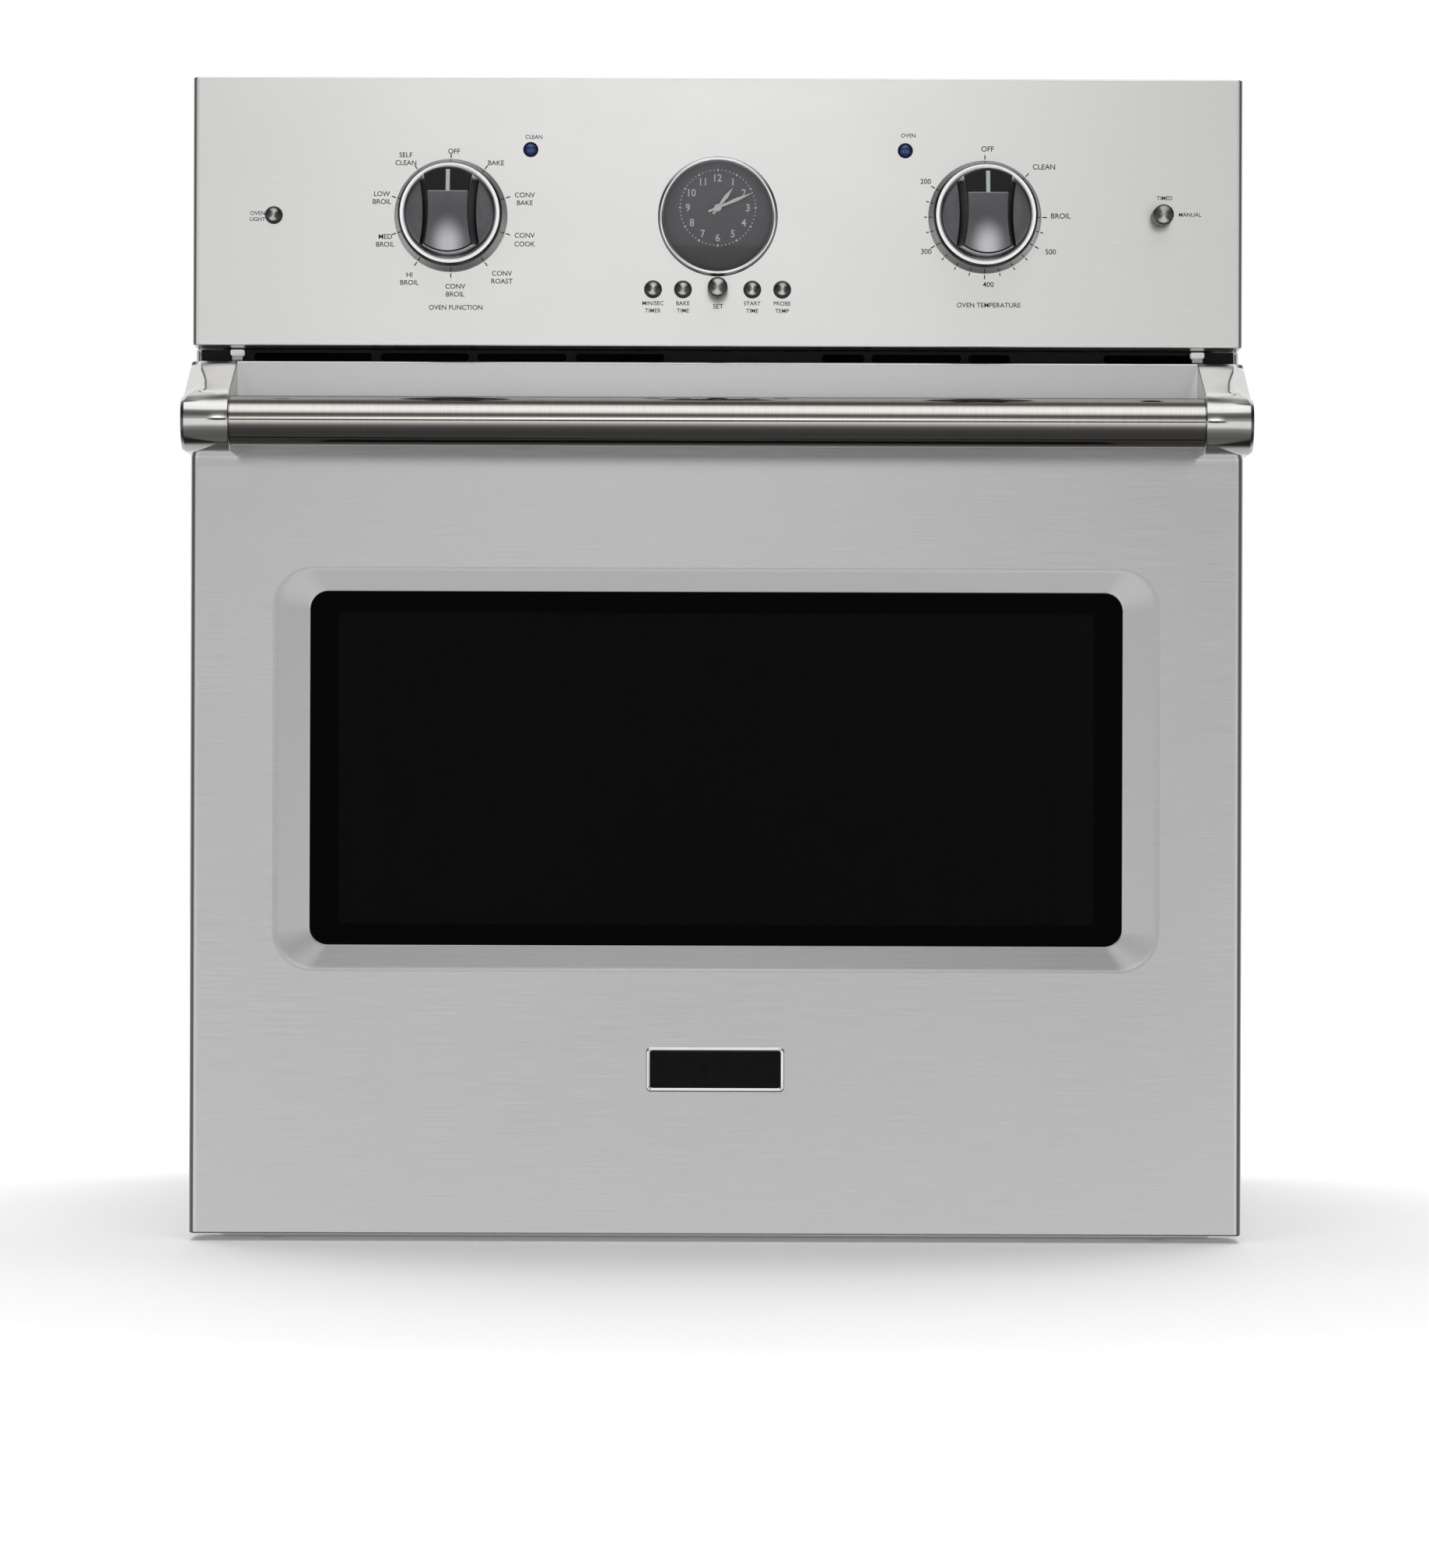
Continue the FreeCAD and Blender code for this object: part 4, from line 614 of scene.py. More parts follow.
# ------------------------------------------------------------------ folded steel fronts
def wrap_parts(half, yf, yb, z0, z1, rs, rt, holes, notches=()):
    """A folded sheet front: flat face with holes, rounded side edges, softly rounded top and bottom edges and the returns."""
    parts = []
    fx = half - rs
    # flat face
    outer = [(-fx, z0 + rt), (fx, z0 + rt), (fx, z1 - rt), (-fx, z1 - rt)]
    parts.append((*sheet_with_holes(outer, holes, yf), 0))
    # rounded vertical edges and side returns
    for s in (-1, 1):
        prof = [(s * (fx + rs * math.sin(math.radians(a))), yf + rs - rs * math.cos(math.radians(a))) for a in
                [90 * i / 10 for i in range(11)]] + [(s * half, yb)]
        parts.append((*loft([[(x, y, z0 + rt) for x, y in prof], [(x, y, z1 - rt) for x, y in prof]], closed=False), 0))
    # rounded top and bottom edges with the corner blends, and the top and bottom returns
    full = [(-half, yb)] + [(-fx - rs * math.cos(math.radians(a)), yf + rs - rs * math.sin(math.radians(a))) for a in
                            [90 * i / 10 for i in range(11)]] + \
           [(fx + rs * math.sin(math.radians(a)), yf + rs - rs * math.cos(math.radians(a))) for a in
            [90 * i / 10 for i in range(11)]] + [(half, yb)]
    nrm = [(-1, 0)] + [(-math.cos(math.radians(a)), -math.sin(math.radians(a))) for a in [90 * i / 10 for i in range(11)]] + \
          [(math.sin(math.radians(a)), -math.cos(math.radians(a))) for a in [90 * i / 10 for i in range(11)]] + [(1, 0)]
    for zc, sg in ((z1 - rt, 1), (z0 + rt, -1)):
        loops = []
        for i in range(7):
            a = math.radians(90 * i / 6)
            ins = rt * (1 - math.cos(a))
            loops.append([(x - nx * ins, y - ny * ins, zc + sg * rt * math.sin(a)) for (x, y), (nx, ny) in zip(full, nrm)])
        parts.append((*loft(loops, closed=False), 0))
        rim = [(x, y) for x, y, z in loops[-1]]
        zz = zc + sg * rt
        cuts = [rim] if not (notches and sg < 0) else [notched(rim, yb, notches)]
        for c in cuts:
            tris = tessellate_polygon([[Vector((x, y, 0)) for x, y in c]])
            parts.append(([(x, y, zz) for x, y in c], [tuple(t) for t in tris], 0))
    return parts


def notched(rim, yb, notches):
    """Rim outline of the bottom return with rectangular notches open to its rear edge."""
    out = list(rim)
    for xa, xb, y in sorted(notches, reverse=True):
        out += [(xb, yb), (xb, y), (xa, y), (xa, yb)]
    return out


# ---- control panel face
PY = -40.0
holes = [circle(0, 656, 35.6, 96), circle(-171, 656, 8, 32), circle(171, 656, 8, 32)]
for x, z, r in ((-120, 698.5, 4.9), (120, 698.5, 4.9), (-41.4, 609.2, 5.1), (-22.2, 609.2, 5.1), (22.2, 609.2, 5.1), (41.4, 609.2, 5.1),
                (-284.5, 656, 5.1), (284, 656, 3.6), (0, 609.2, 3.6)):
    holes.append(circle(x, z, r, 40))
parts = wrap_parts(336.5, PY, -2.0, 572.6, 744.6, 4.0, 1.0, holes)
for h in holes:
    parts.append((*holewall(h, PY, PY + 1.2), 1))
piece("panel_face", parts, [M["panel"], M["black"]], "root", ("control_panel",), recalc=False)

# ---- door skin with the sloping recess round the window
DY = -50.0
def blend_profile(t):
    """Depth of the recess from its rim (0) to the window's edge (1): an eased start, a straight slope, a tight end."""
    e = 0.16
    if t < e:
        s = t * t / (2 * e)
    else:
        s = t - e / 2
    return s / (1 - e / 2)


o_hx, o_z0, o_z1, o_r = 283.5, 172.0, 430.5, 26.0
i_hx, i_z0, i_z1, i_r = 260.0, 188.4, 415.3, 12.0
NC = 20
rims = []
for i in range(25):
    t = i / 24
    loop = rrect(o_hx + (i_hx - o_hx) * t, o_z0 + (i_z0 - o_z0) * t, o_z1 + (i_z1 - o_z1) * t, o_r + (i_r - o_r) * t, NC)
    rims.append(at(loop, DY + 2.6 * blend_profile(t)))
for a in (30, 60, 90):
    d = 0.45 * math.sin(math.radians(a))
    loop = rrect(i_hx - d, i_z0 + d, i_z1 - d, i_r - d, NC)
    rims.append(at(loop, DY + 2.6 + 0.45 * (1 - math.cos(math.radians(a)))))
loop = rrect(i_hx - 0.45, i_z0 + 0.45, i_z1 - 0.45, i_r - 0.45, NC)
rims.append(at(loop, -45.55))
parts = wrap_parts(336.5, DY, -13.0, 4.0, 561.7, 5.0, 1.4, [rrect(o_hx, o_z0, o_z1, o_r, NC)],
                   notches=[(-290, -280, -25.5), (280, 290, -25.5)])
parts.append((*loft(rims), 1))
piece("door_face", parts, [M["door"], M["recess"]], "door", ("door_skin",), recalc=False)

# ---- handle: bar with turned-down ends and a shadow groove at each bracket
bar = [(0, -318.3), (8, -318.3), (8, -306.9), (15.0, -306.9), (15.6, -306.2)]
bar += [(15.6, x) for x in (-306.0, -200, -100, 0, 100, 200, 306.0)] + [(15.6, 306.2), (15.0, 306.9), (8, 306.9), (8, 318.3), (0, 318.3)]
piece("handle_round_bar", [(*lathe(bar, 0, -100, 520.5, 160, "X"), 0)], [M["bar"]], "door", ("handle_bar",), recalc=True)


def bracket_outline():
    """Side profile of a bracket in (y, z): slope down from the door's top edge, round nose, flat underside."""
    R, cy, cz = 20.0, -100.0, 520.5
    P = (-50.0, 561.7)
    d = math.hypot(P[0] - cy, P[1] - cz)
    ang = math.atan2(P[1] - cz, P[0] - cy) + math.acos(R / d)
    pts = []
    T = (cy + R * math.cos(ang), cz + R * math.sin(ang))
    for i in range(13):
        t = i / 12
        pts.append((P[0] + (T[0] - P[0]) * t, P[1] + (T[1] - P[1]) * t))
    for i in range(1, 33):
        a = ang + (1.5 * math.pi - ang) * i / 32
        pts.append((cy + R * math.cos(a), cz + R * math.sin(a)))
    for i in range(1, 9):
        pts.append((cy + (P[0] - cy) * i / 8, cz - R))
    return pts


def inset(pts, d):
    """Outline moved inwards by d, its rear edge left on the door."""
    n = len(pts)
    out = []
    for i, (y, z) in enumerate(pts):
        a, b = pts[max(0, i - 1)], pts[min(n - 1, i + 1)]
        ty, tz = b[0] - a[0], b[1] - a[1]
        L = math.hypot(ty, tz) or 1
        ny, nz = -tz / L, ty / L
        yy, zz = y + ny * d, z + nz * d
        if i == 0 or i == n - 1:
            yy = y
        out.append((yy, zz))
    return out


def inset_var(pts, ds):
    n = len(pts)
    out = []
    for i, (y, z) in enumerate(pts):
        a, b = pts[max(0, i - 1)], pts[min(n - 1, i + 1)]
        ty, tz = b[0] - a[0], b[1] - a[1]
        L = math.hypot(ty, tz) or 1
        out.append((y if i in (0, n - 1) else y - tz / L * ds[i], z + ty / L * ds[i]))
    return out


FACET = ((0.0, 1.0), (0.02, 0.93), (0.06, 0.87), (0.45, 0.50), (0.88, 0.10), (0.95, 0.03), (1.0, 0.0))
for s, label in ((-1, "left"), (1, "right")):
    base = bracket_outline()
    def wide(i):
        """Width of the facet at station i of the outline."""
        for (i0, w0), (i1, w1) in zip(((0, 6.8), (5, 9.0), (9, 11.0), (12, 10.0), (15, 5.5), (19, 2.2), (60, 2.0)), ((5, 9.0), (9, 11.0), (12, 10.0), (15, 5.5), (19, 2.2), (60, 2.0))):
            if i <= i1:
                return w0 + (w1 - w0) * (i - i0) / (i1 - i0)
        return 2.0
    outer = []
    for u, v in FACET:
        ring_ = inset_var(base, [wide(i) * 0.66 * v for i in range(len(base))])
        outer.append([(s * (336.5 - wide(i) * u), y, z) for i, (y, z) in enumerate(ring_)])
    inner = []
    for i in range(5):
        a = math.radians(90.0 * i / 4)
        ring_ = inset_var(base, [0.9 * (1 - math.cos(a))] * len(base))
        inner.append([(s * (306.5 + 0.9 - 0.9 * math.sin(a)), y, z) for y, z in ring_])
    vs, fs = loft(outer + inner, closed=True, cap0=True, cap1=True)
    piece("handle_bracket_" + label, [(vs, fs, 0)], [M["bracket"]], "door", ("handle_brackets",), angle=24)

# ---- main knobs
def scoop_radius(theta, r, w, R=105.0):
    """Distance from the knob's axis to its outline in the direction theta (0 is straight up)."""
    s = abs(math.sin(theta))
    c = w + R
    q = (c * s) ** 2 - (c * c - R * R)
    if q <= 0:
        return r
    return min(r, c * s - math.sqrt(q))


def dish(z):
    """How far the grip's front lies behind its highest point: level in the middle, sloping back above and a little below."""
    back = 0.0
    if z > 10.6:
        k = z - 10.6
        back += 0.25 * (k * k / 3.0 if k < 1.5 else k - 0.75)
    if z < 9:
        k = 9 - z
        back += 0.0019 * k * k
    return back


def knob_parts(x):
    parts = []
    cz = 656.0
    angs = []
    NA = 216
    for k in range(NA):
        angs.append(2 * math.pi * k / NA)
    # outline corner points where round end meets hollow side
    def outline(r, w, y, follow):
        out = []
        for t in angs:
            q = scoop_radius(t, r, w)
            px, pz = q * math.sin(t), q * math.cos(t)
            out.append((x + px, y + (dish(pz) * follow), cz + pz))
        return out
    rows = []
    for i in range(6):
        a = math.radians(90.0 * i / 5)
        e = 0.9
        rows.append(outline(27.2 - e * (1 - math.sin(a)), 13.1 - e * (1 - math.sin(a)), -85.0 + e * (1 - math.cos(a)), 1.0))
    for k, (w, y) in enumerate(((13.2, -83.0), (13.4, -80.0), (13.8, -76.0), (14.4, -72.0), (14.9, -68.5), (15.5, -65.4), (16.3, -63.2), (17.1, -62.6))):
        rows.append(outline(27.2 + 0.1 * k, w, y, max(0.0, (-y - 63.0) / 22.0) if k < 6 else 0.0))
    top = rows[0]
    vs, fs = loft(rows)
    # front face in level rows, so that its sloping upper part ends on a straight line
    rf, wf, Rf, cols = 26.3, 12.2, 105.0, 16

    def half(z):
        return max(0.0, min(math.sqrt(max(0.0, rf * rf - z * z)), wf + Rf - math.sqrt(Rf * Rf - z * z)))
    levels = [-26.3, -26.2, -26.0, -25.6, -25.0, -24.2] + [-23.4 + i * 0.9 for i in range(38)] + [10.4, 10.6, 10.8, 11.0, 11.2, 11.4, 11.6, 11.8, 12.0, 12.3]
    levels += [12.8 + i * 0.8 for i in range(15)] + [24.6, 25.2, 25.7, 26.05, 26.2, 26.3]
    levels = sorted(set(round(q, 3) for q in levels))
    v2, f2, f2b = [], [], []
    for pz in levels:
        h_ = half(pz)
        for k in range(cols + 1):
            v2.append((x - h_ + 2 * h_ * k / cols, -85.0 + dish(pz), cz + pz))
    for i in range(len(levels) - 1):
        for k in range(cols):
            q = (i * (cols + 1) + k, i * (cols + 1) + k + 1, (i + 1) * (cols + 1) + k + 1, (i + 1) * (cols + 1) + k)
            (f2b if levels[i] >= 11.55 else f2).append(q)
    nv = len(v2)
    v2b = list(v2)
    parts.append((*used(v2, f2), 0))
    parts.append((*used(v2b, f2b), 3))
    parts.append((vs, fs, 1))
    # skirt under the grip
    skirt = [(0, -62.4), (20, -62.4), (26.6, -62.5)] + [(28.9 - 1.6 + 1.6 * math.sin(math.radians(a)), -60.8 - 1.6 * math.cos(math.radians(a))) for a in
             (15, 30, 45, 60, 75, 90)] + [(28.9, -44.2), (8, -44.2), (8, -38)]
    parts.append((*lathe(skirt, x, 0, cz, 144), 0))
    # indicator line: a flat strip standing a hair proud of the sloping front
    v3, f3 = [], []
    rows_ = [11.2 + (25.2 - 11.2) * i / 10 for i in range(11)]
    for pz in rows_:
        yy = max(-84.99, -85.0 + dish(pz) - 0.12)
        v3 += [(x - 1.25, yy + 0.2, cz + pz), (x - 1.25, yy, cz + pz), (x + 1.25, yy, cz + pz), (x + 1.25, yy + 0.2, cz + pz)]
    for i in range(10):
        for k in range(3):
            f3.append((4 * i + k, 4 * i + k + 1, 4 * i + k + 5, 4 * i + k + 4))
    f3 += [(0, 1, 2, 3), (40, 41, 42, 43)]
    parts.append((v3, f3, 2))
    return parts


for x, node in ((-171, "function_knob"), (171, "temperature_knob")):
    piece(node + "_grip", knob_parts(x), [M["knob"], M["knob_wall"], M["line"], M["knob_top"]], node, (node,), angle=30, weld=0.0)
    bez = [(29.4, -41.5), (29.4, -58.6)] + [(29.4 + 1.1 * (1 - math.cos(math.radians(a))), -59.0 - 0.95 * math.sin(math.radians(a))) for a in
          (0, 30, 60, 90)] + [(31.0, -59.9), (31.5, -59.55), (31.8, -58.9), (31.8, -57.6)]
    cone = [(31.8, -57.6), (32.2, -56.9), (32.9, -56.3), (33.6, -53.0), (34.6, -48.0), (35.6, -43.2), (36.2, -40.9), (36.2, -40.0)]
    piece(node + "_bezel", [(*lathe(bez, x, 0, 656, 160), 0), (*lathe(cone, x, 0, 656, 160), 1),
                            (*lathe([(29.4, -43.6), (8.1, -43.6), (8.1, -40)], x, 0, 656, 96), 2)],
          [M["ring"], M["bezel"], M["black"]], "root", ("knob_bezels",), angle=40)

# ---- clock
ring = [(34.9, -36.4), (34.9, -41.6), (35.1, -42.6)] + [(36.5 + 1.45 * math.cos(math.radians(a)), -42.1 - 1.35 * math.sin(math.radians(a)))
       for a in (165, 145, 125, 105, 90, 75, 55, 35, 15, 0)] + [(37.8, -41.0), (37.8, -40.0)]
# painted shadow: the thin black band just outside the chrome ring stands in for the shadow round it
piece("clock_ring", [(*lathe(ring, 0, 0, 656, 192), 0),
                     (*lathe([(37.8, -40.0), (37.8, -40.35), (38.35, -40.3), (38.4, -40.0)], 0, 0, 656, 128), 1)],
      [M["chrome"], M["black"]], "root", ("clock_bezel",), angle=45)

# ---- buttons: domed spun caps with a dark rim round them
def cap(r, y, depth=7.0):
    return [(0, y + 0.02), (r * 0.35, y), (r * 0.7, y + 0.05), (r * 0.86, y + 0.25)] + \
           [(r - 0.55 + 0.55 * math.sin(math.radians(a)), y + 0.85 - 0.55 * math.cos(math.radians(a))) for a in (20, 45, 70, 90)] + \
           [(r, y + depth)]


M["button_rim"] = polished("button_rim", (0.10, 0.10, 0.10), rough=0.25, smear=0.06, scale=200)
BUTTONS = {"light_button": (-284.5, 656), "minute_timer_button": (-41.4, 609.2), "bake_time_button": (-22.2, 609.2),
           "start_time_button": (22.2, 609.2), "probe_temp_button": (41.4, 609.2)}
for node, (x, z) in BUTTONS.items():
    piece(node + "_cap", [(*lathe(cap(4.8, -45.0), x, 0, z, 72), 0),
                          (*lathe([(4.8, -38.0), (2.0, -38.0), (2.0, -33.3), (0, -33.3)], x, 0, z, 40), 0)],
          [M["spun"]], node, (node,), angle=40)
    piece(node + "_rim", [(*lathe([(4.9, -39.9), (4.9, -40.25), (5.5, -40.3), (5.75, -40.02)], x, 0, z, 64), 0)], [M["button_rim"]],
          "root", (), angle=40)


def knurl_knob(node, x, z, r, front, back):
    """Small turning knob: spun face, chamfer, fine straight knurling round its rim."""
    segs = 144
    def row(rad, y, amp=0.0):
        return [(x + (rad - (amp if k % 2 else 0)) * math.sin(2 * math.pi * k / segs), y, z + (rad - (amp if k % 2 else 0)) *
                 math.cos(2 * math.pi * k / segs)) for k in range(segs)]
    side = [row(r - 0.75, front + 0.12), row(r - 0.35, front + 0.3), row(r, front + 1.0), row(r, front + 1.6, 0.16), row(r + 0.1, front + 14, 0.16),
            row(r + 0.15, front + 15.2), row(r + 0.1, front + 17.6), row(r - 0.3, front + 18.4), row(r - 0.3, -41.0), row(3.0, -41.0), row(3.0, back)]
    vs, fs = loft(side)
    face = lathe([(0, front + 0.06), (r * 0.3, front + 0.03), (r * 0.62, front + 0.02), (r - 0.75, front + 0.12)], x, 0, z, segs)
    return piece(node + "_cap", [(*face, 0), (vs, fs, 0)], [M["spun"]], node, (node,), angle=38, weld=0.003)


knurl_knob("set_knob", 0, 609.2, 6.3, -61.0, -19.5)
knurl_knob("mode_knob", 284, 656, 6.5, -62.0, -19.5)

# ---- indicator lenses
parts = []
for x in (-120, 120):
    parts.append((*lathe([(0, -42.35), (1.2, -42.32), (2.2, -42.1), (3.1, -41.6), (3.8, -40.9), (4.05, -40.2), (4.05, -38.8)], x, 0, 698.5, 64), 0))
    parts.append((*lathe([(4.05, -40.0), (4.1, -40.6), (4.45, -40.85), (4.75, -40.6), (4.8, -40.0)], x, 0, 698.5, 64), 1))
piece("indicator_domes", parts, [M["lens"], M["black_plastic"]], "root", ("indicator_lenses",), angle=50)

# ---- badge: chrome frame round a plain black inlay, nothing on it
def chamfer_plate():
    x0, z0, z1, y0 = 44.15, 95.55, 124.25, -50.0
    rows = []
    for d, y in ((0.0, -50.0), (0.0, -50.9), (0.25, -51.35), (0.8, -51.6), (1.7, -51.6), (2.2, -51.45), (2.55, -51.0)):
        rows.append(at(rrect(x0 - d, z0 + d, z1 - d, 3.2 - d * 0.6, 8), y))
    frame_ = loft(rows)
    inner = rrect(x0 - 2.55, z0 + 2.55, z1 - 2.55, 3.2 - 2.55 * 0.6, 8)
    fl = sheet_with_holes(inner, [], -51.0)
    return [(*frame_, 0), (*fl, 1)]


M["inlay"] = painted("badge_inlay", (0.004, 0.004, 0.0045), rough=0.16, peel=0.03, spec=0.12)
piece("badge_blank", chamfer_plate(), [M["chrome"], M["inlay"]], "door", ("badge_plate",), angle=40, weld=0.002)

# ------------------------------------------------------------------ printed marks (thin, standing 0.06 mm proud of the steel)
def text_mesh(s, x, z, cap_h, y, anchor="CENTER", width=1.0, rot=0.0):
    cu = bpy.data.curves.new("t", "FONT")
    cu.body = s
    cu.size = cap_h / 0.70
    cu.align_x = "CENTER" if anchor == "CENTER" else anchor
    cu.align_y = "CENTER"
    cu.resolution_u = 4
    cu.offset = 0.010 * cu.size
    o = bpy.data.objects.new("t", cu)
    scene.collection.objects.link(o)
    dg = bpy.context.evaluated_depsgraph_get()
    me = bpy.data.meshes.new_from_object(o.evaluated_get(dg))
    xs = [v.co.x for v in me.vertices]
    ys = [v.co.y for v in me.vertices]
    mx, my = (min(xs) + max(xs)) / 2, (min(ys) + max(ys)) / 2
    vs = []
    for v in me.vertices:
        u, w = (v.co.x - mx) * width, v.co.y - my
        vs.append((x + u * math.cos(rot) - w * math.sin(rot), y, z + u * math.sin(rot) + w * math.cos(rot)))
    fs = [tuple(p.vertices) for p in me.polygons]
    bpy.data.objects.remove(o)
    bpy.data.curves.remove(cu)
    bpy.data.meshes.remove(me)
    return vs, fs


def tick(cx, cz, r0, r1, deg_cw, w, y):
    a = math.radians(deg_cw)
    ux, uz = math.sin(a), math.cos(a)
    px, pz = uz, -ux
    q = [(cx + ux * r + px * s * w / 2, y, cz + uz * r + pz * s * w / 2) for r, s in ((r0, -1), (r1, -1), (r1, 1), (r0, 1))]
    return q, [(0, 1, 2, 3)]


YP = -40.06
marks = []
# label places are kept in millimetres from the middle of the panel
FUNCTION = (("OFF", -165.4, 697.3), ("BAKE", -138.5, 689.9), ("CONV", -120.0, 669.4), ("BAKE", -120.0, 664.4), ("CONV", -120.0, 643.5),
            ("COOK", -120.0, 638.0), ("CONV", -134.5, 619.1), ("ROAST", -134.5, 614.1), ("CONV", -164.4, 610.7), ("BROIL", -164.4, 605.7),
            ("HI", -193.8, 618.1), ("BROIL", -193.8, 613.1), ("MED", -209.3, 642.5), ("BROIL", -209.3, 637.5), ("LOW", -211.5, 669.9),
            ("BROIL", -211.5, 664.9), ("SELF", -196.3, 694.8), ("CLEAN", -196.3, 689.8))
for s, x, z in FUNCTION:
    marks.append((*text_mesh(s, x - 3.7, z, 3.1, YP), 0))
for k in range(10):
    marks.append((*tick(-171, 656, 36.9, 39.8, 36 * k, 0.7, YP), 0))
TEMPER = (("OFF", 176.4, 699.8), ("CLEAN", 212.5, 688.4), ("BROIL", 223.5, 657.0), ("500", 217.0, 634.0), ("400", 177.1, 612.9),
          ("300", 137.3, 634.0), ("200", 136.8, 678.9))
for s, x, z in TEMPER:
    marks.append((*text_mesh(s, x - 3.7, z, 3.3, YP), 0))
for d in [0, 45, 90] + [105 + 15 * i for i in range(14)]:
    long_ = d in (0, 45, 90, 120, 180, 240, 300)
    marks.append((*tick(171, 656, 36.9, 39.8 if long_ else 38.8, d, 0.7, YP), 0))
marks.append((*text_mesh("OVEN FUNCTION", -164.4 - 3.4, 597.2, 3.0, YP), 0))
marks.append((*text_mesh("OVEN TEMPERATURE", 177.1 - 3.4, 599.7, 3.0, YP), 0))
SMALL = (("CLEAN", -118.0, 706.6, 2.5), ("OVEN", 121.8, 708.2, 2.5), ("OVEN", -294.9, 657.3, 2.5), ("LIGHT", -294.9, 653.4, 2.5),
         ("TIMED", 286.2, 668.6, 2.5), ("MANUAL", 302.6, 658.0, 2.5), ("MIN/SEC", -41.4, 600.3, 2.6), ("TIMER", -41.4, 595.6, 2.6),
         ("BAKE", -22.2, 600.3, 2.6), ("TIME", -22.2, 595.6, 2.6), ("SET", 0.4, 598.4, 3.0), ("START", 22.2, 600.3, 2.6),
         ("TIME", 22.2, 595.6, 2.6), ("PROBE", 41.4, 600.3, 2.6), ("TEMP", 41.4, 595.6, 2.6))
for s, x, z, h in SMALL:
    marks.append((*text_mesh(s, x, z, h, YP), 0))
piece("panel_print", marks, [M["print"]], "root", (), recalc=False)

# clock print: numerals and a ring of dots, larger at every fifth
dial_marks = []
YD = -36.27
for k in range(1, 13):
    a = math.radians(30 * k)
    dial_marks.append((*text_mesh(str(k), 19.2 * math.sin(a), 662.0 + 19.2 * math.cos(a), 4.7, YD, width=0.92), 0))
for k in range(60):
    a = math.radians(6 * k)
    r = 0.72 if k % 5 == 0 else 0.40
    cx, cz = 24.2 * math.sin(a), 662.0 + 24.2 * math.cos(a)
    v = [(cx + r * math.cos(t * math.pi / 5), YD, cz + r * math.sin(t * math.pi / 5)) for t in range(10)]
    dial_marks.append((v, [tuple(range(10))], 0))
piece("clock_print", dial_marks, [M["white_print"]], "root", (), recalc=False)

# ------------------------------------------------------------------ casing: pressed stiffening beads, seams and screws
def bead(path, to3, width=11.0, height=2.2, closed=True, n=6):
    """Half-round pressed bead along a path in a plane; to3(u, v, h) places a point that stands h off the sheet."""
    m = len(path)
    rows = []
    for i in range(m):
        a = path[i - 1] if (i or closed) else path[0]
        b_ = path[(i + 1) % m] if (i < m - 1 or closed) else path[-1]
        tu, tv = b_[0] - a[0], b_[1] - a[1]
        L = math.hypot(tu, tv) or 1
        nu, nv = -tv / L, tu / L
        row = []
        for k in range(n + 1):
            w = -1 + 2 * k / n
            h = height * 0.5 * (1 + math.cos(math.pi * w))
            row.append(to3(path[i][0] + nu * w * width / 2, path[i][1] + nv * w * width / 2, max(h, 0.02)))
        rows.append(row)
    verts = [p_ for r in rows for p_ in r]
    faces = []
    for i in range(m if closed else m - 1):
        j = (i + 1) % m
        for k in range(n):
            faces.append((i * (n + 1) + k, i * (n + 1) + k + 1, j * (n + 1) + k + 1, j * (n + 1) + k))
    return verts, faces


def bar_path(u0, v0, u1, v1, steps=16):
    return [(u0 + (u1 - u0) * i / steps, v0 + (v1 - v0) * i / steps) for i in range(steps + 1)]


def screw_head(to3, u, v, r=4.0, h=1.7, turn=0.3):
    """Pan head with a cross recess."""
    segs = 28
    prof = [(r, 0.02), (r, h * 0.35), (r * 0.9, h * 0.75), (r * 0.7, h * 0.95), (r * 0.42, h)]
    verts, faces = [], []
    for pr, ph in prof:
        verts += [to3(u + pr * math.cos(2 * math.pi * k / segs), v + pr * math.sin(2 * math.pi * k / segs), ph) for k in range(segs)]
    for a_ in range(len(prof) - 1):
        for k in range(segs):
            faces.append((a_ * segs + k, a_ * segs + (k + 1) % segs, (a_ + 1) * segs + (k + 1) % segs, (a_ + 1) * segs + k))
    # recess: the middle drops along a four-armed star
    b0 = (len(prof) - 1) * segs
    ring_ = []
    for k in range(segs):
        t = 2 * math.pi * k / segs
        arm = abs(math.cos(2 * (t - turn)))
        q = r * (0.14 + 0.22 * arm ** 3)
        ring_.append(len(verts))
        verts.append(to3(u + q * math.cos(t), v + q * math.sin(t), h * 0.98))
    deep = []
    for k in range(segs):
        t = 2 * math.pi * k / segs
        arm = abs(math.cos(2 * (t - turn)))
        q = r * (0.10 + 0.16 * arm ** 3)
        deep.append(len(verts))
        verts.append(to3(u + q * math.cos(t), v + q * math.sin(t), h * 0.25))
    for k in range(segs):
        m = (k + 1) % segs
        faces.append((b0 + k, b0 + m, ring_[m], ring_[k]))
        faces.append((ring_[k], ring_[m], deep[m], deep[k]))
    faces.append(tuple(deep))
    return verts, faces


def rr_uv(u0, u1, v0, v1, r, n=8):
    cu, hv = (u0 + u1) / 2, (u1 - u0) / 2
    return rrect(hv, v0, v1, r, n, cx=cu)


casing, heads = [], []
for s_ in (-1, 1):
    def flank(u, v, h, s_=s_):
        return (s_ * (320.0 + h), u, v)
    casing.append((*bead(rr_uv(70, 330, 90, 640, 30), flank), 0))
    casing.append((*bead(rr_uv(370, 530, 90, 640, 30), flank), 0))
    casing.append((*bead(bar_path(20, 705, 560, 705), flank, width=8.0, height=1.2, closed=False), 0))
    for u, v in ((22, 40), (22, 230), (22, 430), (22, 620), (575, 60), (575, 250), (575, 440), (575, 640), (150, 722), (300, 722), (450, 722)):
        heads.append((*screw_head(flank, u, v), 0))


def lid(u, v, h):
    return (u, v, 738.0 + h)


